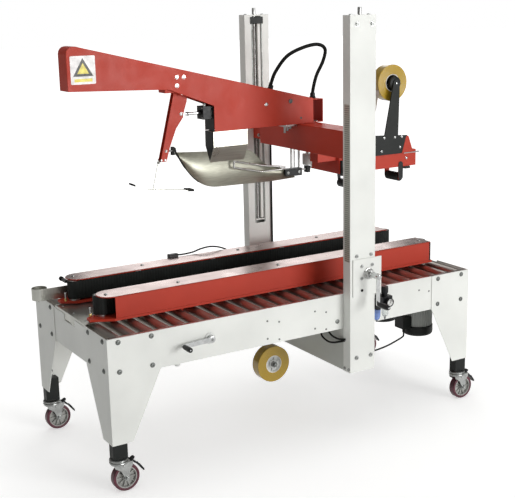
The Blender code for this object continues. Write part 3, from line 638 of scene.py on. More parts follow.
def dress_cad_nodes():
    """Finish of the folded and welded sheet parts that the CAD gives their full shape."""
    for end in ENDS:
        dress("end_panel_" + end, "white", 0.0008)
        for side in SIDES:
            dress(f"leg_{end}_{side}", "white", 0.0012)
            dress(f"leg_tube_{end}_{side}", "black_paint", 0.0015)
    for side in SIDES:
        dress("side_beam_" + side, "white", 0.001)
        dress("column_" + side, "white", 0.0012)
        dress("belt_base_" + side, "red", 0.0012)
    # The channel's white paint is painted grey: painted shade from the bed above.
    dress("column_channel", "grey", 0.001)
    dress("lift_bracket", "white", 0.001)
    dress("fold_arm", "red", 0.0012)
    dress("arm_shoe", "stainless", 0.0006)
    dress("upper_tape_frame", "red", 0.0008)
    dress("lower_tape_frame", "steel", 0.0008)


def leg_bolts():
    """Four bolts through each flange of each leg."""
    for end, e in ENDS.items():
        for side, s in SIDES.items():
            lo, hi = box(f"leg_{end}_{side}")
            face_x = hi.x if e > 0 else lo.x
            face_y = hi.y if s > 0 else lo.y
            bolts = Solid()
            for z in (hi.z - 0.016, hi.z - 0.132):
                for inset in (0.045, 0.181):
                    bolts.button_bolt((face_x - e * inset, face_y, z), (0, s, 0))
                for inset in (0.041, 0.1805):
                    bolts.button_bolt((face_x, face_y - s * inset, z), (e, 0, 0))
            if (end, side) == ("infeed", "far"):
                for y, z in ((face_y - 0.152, 0.317), (face_y - 0.15, 0.294)):
                    bolts.small_screw((face_x, y, z), (e, 0, 0), 0.005)
            bolts.piece(f"leg_bolts_{end}_{side}", "frame", ["dark_zinc"], f"leg_{end}_{side}")


def beam_details():
    """Screws of the roller rails and head straps, the round plug, foot bumper and top strips."""
    for side, s in SIDES.items():
        lo, hi = box("side_beam_" + side)
        face = hi.y if s > 0 else lo.y
        screws = Solid()
        for x in (-0.16, 0.072, 0.627):
            for dx, dz in ((-0.028, 0.0065), (0.028, -0.0065)):
                screws.small_screw((x + dx, face, 0.5605 + dz), (0, s, 0))
                if x < 0.6:
                    screws.small_screw((x + dx, face, 0.486 + dz), (0, s, 0))
        screws.turn([(0, 0), (10, 0), (9.5, 2.2), (6, 3), (0, 3)], (0.157, face, 0.503), (0, s, 0), 24)
        screws.piece("beam_screws_" + side, "frame", ["dark_zinc"], "side_beam_" + side)
        foot = Solid()
        foot.turn([(0, 0), (11, 0), (12, 7), (9, 11), (0, 11)], (-0.591, face - s * 0.014, lo.z), DOWN,
            20)
        foot.piece("beam_plug_" + side, "frame", ["light_plastic"], "side_beam_" + side)
        # The top strip's pink-brown tint is a painted reflection of the red parts.
        strip = Solid()
        strip.block((lo.x + 0.004, hi.x - 0.004), (face - s * 0.0125, face - s * 0.0008),
            (hi.z + 0.0002, hi.z + 0.0012))
        strip.piece("bed_edge_strip_" + side, "frame", ["top_steel_painted_reflection"], "side_beam_" + side, bevel=0.0003)


def rollers():
    """Steel roller tubes with pressed end caps on hexagon shafts, and their slotted rails."""
    z, radius = 0.5985, 0.0225
    places = [(i - (ROLLER_COUNT - 1) / 2) * ROLLER_PITCH for i in range(ROLLER_COUNT)]
    gap = range(10, 18)                 # rollers split in two for the lower tape head
    end, shaft_end = 0.368, (0.3714 + 0.3774) / 2
    rails = Solid()
    for s in (-1, 1):
        rails.block((-0.865, 0.865), (s * 0.3714, s * 0.3774), (0.585, 0.612))
        rails.use(1)
        for x in places:
            rails.turn([(0, 0), (7.2, 0, 6), (7.2, 3, 6), (0, 3)], (x, s * 0.3712, z), (0, -s, 0), 12)
        rails.use(0)
        rails.block((places[gap[0]] - 0.03, places[gap[-1]] + 0.03), (s * 0.062, s * 0.068),
            (0.585, 0.612))
    rails.piece("roller_rails", "frame", ["steel", "dark_zinc"], "roller_bed", True, bevel=0.0006)
    for i, x in enumerate(places):
        if i in gap:
            spans = [(-end, -0.075, -shaft_end, -0.063), (0.075, end, 0.063, shaft_end)]
        else:
            spans = [(-end, end, -shaft_end, shaft_end)]
        roll = Solid()
        for start, stop, shaft0, shaft1 in spans:
            cap = 0.0015
            roll.use(0).lathe([(radius - 0.002, 0.004), (radius - 0.0015, cap * 0.3),
                (radius - 0.0006, 0), (radius, 0.0006), (radius, stop - start - 0.0006),
                (radius - 0.0006, stop - start), (radius - 0.0015, stop - start - cap * 0.3),
                (radius - 0.002, stop - start - 0.004)], (x, start, z), FAR, 40, loop=True)
            roll.use(1)
            for place, inward in ((start, 1), (stop, -1)):
                roll.lathe([(0, 0.004), (radius - 0.0022, 0.004), (radius - 0.0022, 0.0012),
                    (radius - 0.005, 0.0012), (radius - 0.007, 0.003), (0.01, 0.003), (0.009, 0.0005),
                    (0, 0.0005)], (x, place, z), (0, inward, 0), 24)
            roll.lathe([(0, 0), (0.005, 0, 6), (0.005, shaft1 - shaft0, 6), (0, shaft1 - shaft0)],
                (x, shaft0, z), FAR, 12)
        # The tubes' brown tint is a painted reflection of the red skirt.
        roll.piece(f"bed_roller_{i + 1:02d}", "frame", ["roller_steel_painted_reflection", "zinc"], "roller_bed")


# ---------------------------------------------------------------- casters

def caster(end, side):
    """Swivel fork, polyurethane wheel and foot brake of one caster."""
    tag = f"{end}_{side}"
    fork_lo, fork_hi = box("caster_fork_" + tag)
    axle = middle_of("caster_wheel_" + tag)
    x, y, top = fork_lo.x + 0.033, axle.y, fork_hi.z

    fork = Solid()
    fork.turn([(0, 0), (31, 0), (35, 1.2), (36.5, 4), (35.5, 6.6), (32, 7.6), (31, 9.2), (32.5, 10.4),
        (35.5, 11.6), (36.5, 15), (34, 19.5), (28, 21.5), (0, 21.5)], (x, y, top), DOWN, 40)
    crown = [(x + 0.052, y - 0.0225), (x + 0.052, y + 0.0225)] + arc((x - 0.006, y), 0.026, 60, 300, 14)
    fork.prism(crown, "Z", 0.113, 0.119)
    cheek = [(x - 0.026, 0.1155), (x + 0.05, 0.1155), (x + 0.05, 0.106), (x + 0.037, 0.088)]
    cheek += arc((axle.x, axle.z), 0.011, 20, -200, 14) + [(x + 0.0, 0.088), (x - 0.024, 0.104)]
    for s in (-1, 1):
        fork.prism(cheek, "Y", y + s * 0.0185, y + s * 0.0225)
        fork.turn([(0, 0), (11, 0), (11, 1), (8.5, 1, 6), (8.5, 6, 6), (7, 7.5), (0, 7.5)],
            (axle.x, y + s * 0.0225, axle.z), (0, s, 0), 24)
        fork.turn([(0, 0), (4, 0), (4, 2), (0, 3)], (x + 0.012, y + s * 0.0225, 0.107), (0, s, 0), 16)
    fork.rod(0.0058, 0.042, (axle.x, y - 0.021, axle.z), FAR, 16)
    fork.piece("caster_fork_" + tag + "_detail", "fork_" + tag, ["zinc"], "caster_fork_" + tag, True,
        bevel=0.0007)

    wheel = Solid()
    wheel.turn([(43.5, -14.5), (50.5, -16), (53.5, -15), (54.8, -12.5), (55, -9), (55, 9), (54.8, 12.5),
        (53.5, 15), (50.5, 16), (43.5, 14.5)], axle, FAR, 56, loop=True)
    wheel.use(1)
    wheel.turn([(43.7, -14.2), (43.7, 14.2), (40, 14), (38.5, 11.5), (38.5, -11.5), (40, -14)], axle,
        FAR, 56, loop=True)
    wheel.turn([(39, -3), (39, 3), (13, 4.5), (13, -4.5)], axle, FAR, 40, loop=True)
    wheel.turn([(14.5, -15), (14.5, 15), (7, 15.5), (7, -15.5)], axle, FAR, 32, loop=True)
    for out in spokes(10):
        wheel.bar(axle + out * 0.0135, axle + out * 0.0395, 0.02, 0.0032, out.cross(Vector(FAR)))
    wheel.use(2)
    for s in (-1, 1):
        wheel.turn([(7.2, 15.6), (12.5, 15.6), (12, 17.2), (7.5, 17.6)], axle, (0, s, 0), 28, loop=True)
    wheel.piece("caster_wheel_" + tag + "_detail", "wheel_" + tag, ["polyurethane", "hub", "zinc"],
        "caster_wheel_" + tag, True, bevel=0.0004)

    brake = Solid()
    lever = [(x + 0.0468, 0.12), (x + 0.0468, 0.116), (x + 0.058, 0.1075), (x + 0.0725, 0.0965),
        (x + 0.086, 0.079), (x + 0.0985, 0.0635), (x + 0.102, 0.064), (x + 0.1025, 0.067),
        (x + 0.09, 0.0835), (x + 0.0775, 0.1), (x + 0.066, 0.111), (x + 0.055, 0.12)]
    brake.prism(lever, "Y", y - 0.0105, y + 0.0105)
    for s in (-1, 1):
        brake.bar((x + 0.08, y + s * 0.0095, 0.0965), (x + 0.0995, y + s * 0.0095, 0.069), 0.0028, 0.006)
    brake.turn([(0, -13), (4, -13), (4, 13), (0, 13)], (x + 0.049, y, 0.118), FAR, 16)
    brake.prism([(x + 0.0475, 0.1195), (x + 0.061, 0.1195), (x + 0.0655, 0.129), (x + 0.06, 0.13),
        (x + 0.05, 0.1245)], "Y", y - 0.0085, y + 0.0085)
    brake.piece("caster_brake_" + tag + "_detail", "brake_" + tag, ["plastic"], "caster_brake_" + tag,
        True, bevel=0.0008)


# ---------------------------------------------------------------- columns and lift

def columns():
    """Screws, slot lips, lining and bearing block of both columns, their leadscrews and the height rule."""
    for side, s in SIDES.items():
        lo, hi = box("column_" + side)
        out = hi.y if s > 0 else lo.y
        inner = lo.y if s > 0 else hi.y
        top = hi.z
        screws = Solid()
        for x in (lo.x + 0.033, hi.x - 0.021):
            screws.cap_screw((x, out, top - 0.036), (0, s, 0))
            screws.cap_screw((x, out, lo.z + 0.064), (0, s, 0))
            screws.cap_screw((x, out, 0.785), (0, s, 0), 0.006)
        for y in (inner + s * 0.01, out - s * 0.01):
            screws.hex_bolt((lo.x, y, lo.z + 0.014), (-1, 0, 0), 0.0055, 0.005)
        for x in (lo.x + 0.02, hi.x - 0.02):
            screws.button_bolt((x, (inner + out) / 2, top), UP, 0.0065, 0.004)
        screws.piece("column_screws_" + side, "frame", ["zinc"], "column_" + side)

        seal = Solid()
        for x in (lo.x + 0.036, hi.x - 0.04):
            seal.block((x, x + 0.004), (inner - s * 0.0016, inner - s * 0.0002), (0.79, top - 0.01))
        seal.piece("column_slot_lips_" + side, "frame", ["dark_zinc"], "column_" + side, bevel=0.0004)

        lining = Solid()
        lining.block((lo.x + 0.037, lo.x + 0.04), (inner + s * 0.0045, out - s * 0.0045),
            (0.81, top - 0.012))
        lining.block((lo.x + 0.0705, lo.x + 0.0845), (inner + s * 0.0035, inner + s * 0.014),
            (0.81, top - 0.012))
        lining.piece("column_lining_" + side, "frame", ["white"], "column_" + side, bevel=0.0005)

        bearing = Solid()
        bearing.block((lo.x + 0.03, lo.x + 0.097), (inner - s * 0.004, inner - s * 0.0003),
            (top - 0.041, top - 0.01))
        bearing.piece("column_bearing_" + side, "frame", ["black_paint"], "column_" + side, bevel=0.0012)

        screw_lo, screw_hi = box("lift_screw_" + side)
        middle = (screw_lo + screw_hi) / 2
        stem = Solid()
        length = top - 0.02 - screw_lo.z
        stem.thread((middle.x, middle.y, screw_lo.z), UP, length, 0.008, 0.01)
        stem.turn([(0, 0), (6.6, 0), (6.6, 22), (7.8, 22.5), (7.8, 46), (7, 49.5), (0, 49.5)],
            (middle.x, middle.y, screw_hi.z - 0.0495), UP, 24)
        stem.piece(f"lift_screw_{side}_thread", f"lift_screw_{side}_body", ["steel"],
            "lift_screw_" + side, True)

    lo, hi = box("column_near")
    rule = Solid()
    rule.block((lo.x - 0.001, lo.x - 0.0001), (lo.y + 0.0045, hi.y - 0.011), RULE_SPAN)
    rule.piece("height_rule", "frame", ["rule"], "column_near", bevel=0.0003)


def lift_drive():
    """Screws of the lift bracket, the crank's bearing and the height crank."""
    face = box("lift_bracket")[0].y
    crank_lo, crank_hi = box("height_crank")
    x, z = (crank_lo.x + crank_hi.x) / 2, crank_hi.z - 0.013
    screws = Solid()
    for sx, sz in ((0.245, 0.74), (0.298, 0.74), (0.245, 0.688)):
        screws.cap_screw((sx, face, sz), NEAR, 0.0055, 0.0055)
    screws.use(1).turn([(0, 0), (6.2, 0), (6.2, 1), (4.5, 2.2), (0, 2.2)], (0.246, face, 0.636), NEAR,
        20)
    screws.piece("lift_bracket_screws", "frame", ["zinc", "rubber"], "lift_bracket")
    bearing = Solid()
    bearing.turn([(13.5, 0.3), (24, 0.3), (24, 5), (21, 6), (19.5, 18), (17, 20), (13.5, 20)],
        (x, face, z), NEAR, 36, loop=True)
    for k in range(3):
        angle = math.radians(30 + 120 * k)
        bearing.cap_screw((x + 0.0215 * math.cos(angle), face - 0.005, z + 0.0215 * math.sin(angle)),
            NEAR, 0.0022, 0.0025)
    bearing.piece("crank_bearing", "frame", ["steel"], "lift_bracket")

    arm_y = crank_lo.y + 0.071
    crank = Solid()
    crank.turn([(0, 0), (8.2, 0), (8.2, 5), (12.8, 5.2), (12.8, 66), (11, 70), (11, 80), (8.5, 83),
        (0, 83)], (x, face + 0.004, z), NEAR, 28)
    crank.prism(slot_outline((x, z), (x, z - 0.118), 0.0085), "Y", arm_y, arm_y + 0.0065)
    crank.use(1).turn([(0, 0), (8.5, 0), (10, 4), (11.5, 20), (12, 45), (10.8, 62), (8, 69), (0, 70)],
        (x, arm_y - 0.0005, z - 0.118), NEAR, 28)
    crank.use(0).turn([(0, 0), (4.2, 0), (3.6, 1), (0, 1)], (x, arm_y - 0.0702, z - 0.118), NEAR, 16)
    crank.piece("height_crank_detail", "height_handle", ["chrome", "plastic"], "height_crank", True,
        bevel=0.0006)


def width_drive():
    """Cross screw with its crank on the near beam."""
    x, z = -0.4524, 0.545
    arm_y = -0.402
    crank = Solid()
    crank.thread((x, arm_y + 0.026, z), FAR, 0.75, 0.008, 0.01)
    crank.turn([(0, 0), (8, 0), (14, 1), (14, 13), (12, 15), (12, 21.2), (7.8, 21.5), (7.8, 30),
        (0, 30)], (x, arm_y - 0.0008, z), FAR, 28)
    crank.prism([(x + 0.003, z + 0.0105)] + arc((x, z), 0.0112, 70, -115,
        10) + arc((x - 0.124, z - 0.005), 0.0085, -95, -262, 8), "Y", arm_y, arm_y + 0.006)
    crank.rod(0.0042, 0.01, (x - 0.124, arm_y, z - 0.005), NEAR, 16)
    crank.use(1).turn([(0, 0), (8, 0), (9.2, 4), (10, 20), (10.5, 40), (9.8, 52), (8, 55.5), (4.8, 55.8),
        (4.8, 53), (0, 52.8)], (x - 0.124, arm_y - 0.0005, z - 0.005), NEAR, 28)
    crank.use(0).turn([(0, 0), (4, 0), (3.4, 1.6), (0, 1.6)], (x - 0.124, arm_y - 0.0533, z - 0.005),
        NEAR, 16)
    crank.use(2).turn([(0, 0), (5.2, 0), (4.6, 1.8), (0, 1.8)], (x, arm_y, z), NEAR, 16)
    crank.piece("width_crank_detail", "width_handle", ["chrome", "plastic", "dark_zinc"], "width_crank",
        True, bevel=0.0005)
    flange = Solid()
    face = box("side_beam_near")[0].y
    flange.turn([(14.8, 0.2), (23, 0.2), (23, 3), (20.5, 4.2), (14.8, 4.2)], (x, face, z), NEAR, 36,
        loop=True)
    flange.piece("width_screw_flange", "frame", ["light_plastic"], "side_beam_near")


# ---------------------------------------------------------------- folding head

def cross_beam():
    """Box beam between the columns, with narrower necks and the slides that run in the column slots."""
    lo, hi = box("cross_beam")
    out, neck, step = 0.3809, 0.33, 0.285
    beam = Solid()
    beam.block((0.2, 0.304), (-out, step), (lo.z, hi.z))
    beam.block((0.222, 0.29), (step - 0.001, out), (lo.z + 0.012, hi.z - 0.012))
    for s in (-1, 1):
        beam.block((0.234, 0.27), (s * 0.36, s * hi.y), (lo.z + 0.02, hi.z - 0.02))
    beam.piece("cross_beam_box", "folding_head", ["red"], "cross_beam", True, bevel=0.0018)
    bolts = Solid()
    for z in (lo.z + 0.03, hi.z - 0.03):
        bolts.hex_bolt((0.222, neck, z), (-1, 0, 0), 0.0065, 0.006)
        bolts.hex_bolt((0.304, neck - 0.09, z), (1, 0, 0), 0.0065, 0.006)
    bolts.piece("cross_beam_bolts", "folding_head", ["zinc"], "cross_beam")


def arm_details():
    """Screws, end covers and caution label of the folding arm, and the bracket of the kicker's pivot."""
    lo, hi = box("fold_arm")
    face = lo.y
    bolts = Solid()
    for x, z in ((-0.381, 1.532), (-0.35, 1.531), (-0.382, 1.498), (0.036, 1.395)):
        bolts.button_bolt((x, face, z), NEAR, 0.0068, 0.004)
        bolts.button_bolt((x, hi.y, z), FAR, 0.0068, 0.004)
    # Two black discs on the arm's face are painted shade for the dark inside of two holes.
    bolts.use(1)
    for x, z, radius in ((0.158, 1.401, 0.01), (0.21, 1.326, 0.005)):
        bolts.lathe([(0, 0.0001), (radius, 0.0001), (radius * 0.94, 0.0012), (radius * 0.7, 0.0012),
            (radius * 0.62, 0.0004), (0, 0.0004)], (x, face, z), NEAR, 28)
    for y in (-0.026, 0.026):
        bolts.use(0).hex_bolt((hi.x - 0.03, y, 1.3037), UP, 0.006, 0.005)
    bolts.piece("arm_bolts", "folding_head", ["chrome", "ink_and_painted_shade"], "fold_arm")

    ends = Solid()
    ends.block((-0.2168, -0.2162), (lo.y + 0.0035, hi.y - 0.0035), (1.304, 1.4))
    ends.prism([(-0.0345, 1.2985), (-0.0345, 1.2352), (0.0, 1.1725), (0.0345, 1.2352), (0.0345, 1.2985)],
        "X", -0.2208, -0.219)
    ends.piece("arm_end_covers", "folding_head", ["plastic"], "fold_arm", bevel=0.0002)
    pivot = Solid()
    pivot.block((-0.43, -0.372), (-0.03, 0.03), (1.47, 1.49))
    pivot.rod(0.0085, 0.025, (PIVOT_X, -0.038, PIVOT_Z), FAR, 24)
    pivot.rod(0.0085, 0.025, (PIVOT_X, 0.013, PIVOT_Z), FAR, 24)
    pivot.piece("kicker_pivot_bracket", "folding_head", ["red"], "fold_arm", bevel=0.0008)

    sticker = Solid()
    x0, x1, z0, z1 = -0.828, -0.727, 1.527, 1.634
    corner = 0.005
    card = (arc((x1 - corner, z1 - corner), corner, 0, 90, 4) + arc((x0 + corner, z1 - corner), corner,
        90, 180, 4) + arc((x0 + corner, z0 + corner), corner, 180, 270,
        4) + arc((x1 - corner, z0 + corner), corner, 270, 360, 4))
    sticker.prism(card, "Y", face - 0.0001, face - 0.0004)
    middle, base, apex, half = (x0 + x1) / 2, z0 + 0.03, z1 - 0.008, 0.041
    centre = (middle, base + (apex - base) / 3)
    for number, inset, depth in ((2, 0.0, 0.0006), (1, 0.0095, 0.0008)):
        shrink = 1 - inset / ((apex - base) / 3)
        corners = [(centre[0] + shrink * (px - centre[0]), centre[1] + shrink * (pz - centre[1])) for px,
            pz in ((middle - half, base), (middle + half, base), (middle, apex))]
        sticker.use(number).prism(corners, "Y", face - 0.0003, face - depth)
    sticker.use(1).prism([(x0 + 0.014, z0 + 0.009), (x1 - 0.014, z0 + 0.009), (x1 - 0.014, z0 + 0.021),
        (x0 + 0.014, z0 + 0.021)], "Y", face - 0.0003, face - 0.0006)
    sticker.piece("caution_sticker", "folding_head", ["card", "yellow", "ink_and_painted_shade"], "fold_arm")


def kicker():
    """Folded-channel leg on its pivot, with the stainless blade and ski at its foot."""
    leg = Solid()
    side_view = [(-0.38, 1.48), (-0.3215, 1.458), (-0.3255, 1.43), (-0.3376, 1.3965), (-0.3448, 1.3666),
        (-0.3779, 1.3235), (-0.4095, 1.2498), (-0.429, 1.185), (-0.4565, 1.185)]
    for s in (-1, 1):
        leg.prism(side_view, "Y", s * 0.01, s * 0.0125)
    front_edge = [(-0.429, 1.1852)] + side_view[6:1:-1] + [(-0.3217, 1.4575)]
    leg.prism(strip_outline(front_edge, 0.0025), "Y", -0.0102, 0.0102)
    leg.piece("kicker_leg_channel", "kicker_leg", ["red"], "kicker", True, bevel=0.0008)

    foot = Solid()
    foot.prism([(-0.4585, 1.2), (-0.426, 1.2), (-0.4384, 1.08), (-0.4875, 1.085)], "Y", -0.0025, 0.0025)
    sole = [(-0.582, 1.1125), (-0.56, 1.101), (-0.532, 1.0905), (-0.51, 1.0825), (-0.309, 1.0605)]
    foot.prism(strip_outline(sole, 0.0035), "Y", -0.02, 0.02)
    foot.use(1)
    foot.block((-0.459, -0.425), (-0.0135, 0.0135), (1.186, 1.1935))
    for s in (-1, 1):
        for x in (-0.4505, -0.433):
            foot.hex_bolt((x, s * 0.0125, 1.2), (0, s, 0), 0.0036, 0.0036)
        foot.button_bolt((-0.353, s * 0.0125, 1.381), (0, s, 0), 0.0062, 0.0045)
        foot.button_bolt((-0.428, s * 0.0125, 1.236), (0, s, 0), 0.005, 0.004)
    foot.rod(0.006, 0.077, (PIVOT_X, -0.0385, PIVOT_Z), FAR, 20)
    foot.tube([(-0.43, 0.004, 1.235), (-0.38, 0.012, 1.231)], 0.0042, 14)
    foot.bar((-0.353, 0, 1.381), (-0.334, 0, 1.38), 0.015, 0.015)
    foot.use(2)
    foot.bar((-0.3865, 0.012, 1.214), (-0.3855, 0.012, 1.248), 0.013, 0.013, (1, 0, 0))
    foot.bar((-0.338, 0, 1.0665), (-0.31, 0, 1.0636), 0.041, 0.009)
    foot.bar((-0.584, 0, 1.116), (-0.574, 0, 1.1107), 0.041, 0.007)
    foot.piece("kicker_foot", "kicker_leg", ["stainless_up", "steel", "rubber"], "kicker", bevel=0.0005)

    z = 1.379
    cylinder = Solid()
    for x0, x1 in ((-0.26, -0.222), (-0.11, -0.072)):
        cylinder.block((x0, x1), (-0.027, 0.027), (z - 0.027, z + 0.027))
    cylinder.rod(0.011, 0.01, (-0.269, 0, z), (1, 0, 0), 24)
    cylinder.use(1).rod(0.023, 0.118, (-0.225, 0, z), (1, 0, 0), 32)
    for y in (-0.02, 0.02):
        for dz in (-0.02, 0.02):
            cylinder.rod(0.0028, 0.19, (-0.262, y, z + dz), (1, 0, 0), 12)
    cylinder.use(2).rod(0.006, 0.07, (-0.338, 0, z), (1, 0, 0), 20)
    cylinder.turn([(0, 0), (9.5, 0, 6), (9.5, 8, 6), (0, 8)], (-0.322, 0, z), (1, 0, 0), 12)
    cylinder.use(3).turn([(0, 0), (6, 0), (6, 9), (4.5, 12), (0, 12)], (-0.246, -0.01, z + 0.027),
        (0, -0.3, 1), 16)
    cylinder.piece("kicker_cylinder_detail", "folding_head", ["plastic", "motor", "chrome",
        "light_plastic"], "kicker_cylinder", True, bevel=0.0012)


def plough_point(s, t):
    """A point of the plough's middle surface, s along the sheet and t down it."""
    fall = min(max((s - 0.6) / 0.2, 0.0), 1.0)
    top = (1.2035 - 0.0175 * min(s / 0.62, 1.0) - 0.078 * fall * fall * (3 - 2 * fall) - 0.165 * max(
        s - 0.8, 0.0))
    low = 1.19 - 0.148 * (1 - (1 - min(s / 0.35, 1.0)) ** 2.65) + 0.03 * max(s - 0.8, 0.0)
    y = 0.135 - 0.045 * s - 0.02 * t + 0.02 * math.sin(math.pi * t)
    return Vector((PLOUGH_START + PLOUGH_LENGTH * s, y, top + (low - top) * t))


def plough():
    """Thin curved sheet with its fork rods, clamps, springs and hangers."""
    along, down, half = 72, 16, 0.0011
    sheet = Solid()
    rings = []
    for i in range(along + 1):
        s = i / along
        front, back = [], []
        for j in range(down + 1):
            t = j / down
            point = plough_point(s, t)
            slope = (plough_point(s, min(t + 0.05, 1)) - plough_point(s, max(t - 0.05, 0)))
            run = plough_point(min(s + 0.02, 1), t) - plough_point(max(s - 0.02, 0), t)
            normal = run.cross(slope).normalized() * half
            front.append(point + normal)
            back.append(point - normal)
        rings.append(front + back[::-1])
    sheet.loft(rings)
    sheet.piece("plough_sheet", "folding_head", ["satin"], "side_plough", True)

    rods = Solid()
    for z0 in (1.145, 1.117):
        rods.tube([(-0.049, 0.098, z0), (0.09, 0.096, z0 - 0.031),
            (0.213, 0.094, 1.087 + (z0 - 1.117) * 0.3)], 0.0042, 12)
    rods.tube([(-0.049, 0.098, 1.147), (-0.049, 0.098, 1.115)], 0.0042, 12)
    rods.tube(smooth_route([(0.344, 0.1, 1.075), (0.352, 0.1, 1.076), (0.358, 0.1, 1.088),
        (0.358, 0.1, 1.11)], 0.004), 0.0035, 12)
    for x in (0.25, 0.266, 0.29):
        rods.tube([(x, 0.1, 1.07), (x, 0.1, 1.1845)], 0.005 if x != 0.266 else 0.0032, 12)
    rods.use(1)
    rods.bar((0.209, 0.101, 1.0675), (0.298, 0.101, 1.0675), 0.03, 0.034)
    rods.bar((0.327, 0.101, 1.074), (0.344, 0.101, 1.074), 0.026, 0.03)
    rods.use(2).turn([(0, 0), (20, 0), (22, 3), (22, 47), (20, 50), (0, 50)], (0.336, 0.1, 1.094), UP,
        28)
    rods.use(0).rod(0.0065, 0.04, (0.336, 0.1, 1.144), UP, 18)
    rods.tube([(0.296, 0.101, 1.074), (0.33, 0.101, 1.074)], 0.0042, 12)
    for x in (0.224, 0.283):
        rods.use(3).cap_screw((x, 0.086, 1.0675), NEAR, 0.0042, 0.0045)
    rods.piece("plough_rods", "folding_head", ["steel", "plastic", "motor", "zinc"], "side_plough",
        bevel=0.0006)

    trim = Solid()
    edge = [plough_point(0.16 * k / 10, 1.0) for k in range(11)]
    top = plough_point(0.0, 0.0)
    trim.tube([top + Vector((-0.004, 0, 0.02)), top] + edge, lambda i: 0.004 if i < 6 else 0.0022, 10)
    trim.piece("plough_edge_trim", "folding_head", ["rubber"], "side_plough")

    hangers = Solid()
    hangers.use(1)
    for k, x in enumerate((0.146, 0.168, 0.19)):
        hangers.lathe([(0, 0), (0.0075, 0, 6), (0.0075, 0.01, 6), (0.0055, 0.011),
            (0.0055, 0.034 - 0.006 * k), (0.007, 0.035 - 0.006 * k), (0, 0.036 - 0.006 * k)],
            (x, -0.015 + 0.012 * k, 1.2985), (0, 0.1, -1), 18)
    hangers.use(0).block((0.14, 0.198), (-0.03, 0.03), (1.29, 1.2995))
    hangers.piece("arm_air_fittings", "folding_head", ["steel", "zinc"], "fold_arm", bevel=0.0005)


def conduit_gland(solid, place, direction, radius):
    """Hexagon nut and clamp ring of a conduit's end."""
    return solid.lathe([(0, 0), (radius * 1.55, 0, 6), (radius * 1.55, 0.008, 6), (radius * 1.3, 0.009),
        (radius * 1.35, 0.018), (radius * 1.12, 0.024), (0, 0.024)], place, direction, 24)


def conduit():
    """Corrugated cable conduit from the arm to its end bracket."""
    route = [(0.08, 0, 1.458), (0.088, 0, 1.48), (0.112, 0, 1.528), (0.172, 0, 1.59), (0.257, 0, 1.6229),
        (0.33, 0, 1.632), (0.368, 0, 1.61), (0.357, 0, 1.56), (0.322, 0, 1.5), (0.303, 0, 1.44),
        (0.3, 0, 1.4052)]
    hose = Solid()
    hose.tube(smooth_route(route, 0.0012), lambda i: 0.008 if i % 3 else 0.0068, 16)
    hose.piece("conduit_hose", "folding_head", ["rubber"], "conduit", True)
    glands = Solid()
    conduit_gland(glands, (0.0805, 0, 1.4495), (0.35, 0, 1), 0.0085)
    conduit_gland(glands, (0.3, 0, 1.4022), UP, 0.0085)
    glands.piece("conduit_glands", "folding_head", ["plastic"], "conduit")


# ---------------------------------------------------------------- tape heads

def tape_roll(name, node, body, hub_key):
    """Wound tape on a card core with a spoked hub."""
    lo, hi = box(node)
    centre = (lo + hi) / 2
    radius, half = (hi.x - lo.x) / 2, (hi.y - lo.y) / 2
    M["wound_" + name] = wound_tape("wound_" + name, (0.47, 0.30, 0.022), centre + MID)
    roll = Solid()
    roll.lathe([(0.04, -half), (radius - 0.0012, -half), (radius, -half + 0.001), (radius, half - 0.001),
        (radius - 0.0012, half), (0.04, half)], centre, FAR, 96, loop=True)
    roll.use(1).collar(0.0365, 0.04, half + 0.0006, centre, 64)
    roll.use(2).collar(0.013, 0.019, half - 0.003, centre, 32)
    roll.collar(0.033, 0.0363, half - 0.004, centre, 48)
    if hub_key == "light_plastic":
        roll.lathe([(0.019, 0.01 - half), (0.0335, 0.007 - half), (0.0335, 0.009 - half),
            (0.019, 0.012 - half)], centre, FAR, 48, loop=True)
    for out in spokes(6, 0.3):
        roll.bar(centre + out * 0.018, centre + out * 0.0335, half * 1.7, 0.004, out.cross(Vector(FAR)))
    roll.piece(name, body, ["wound_" + name, "core", hub_key], node, True)


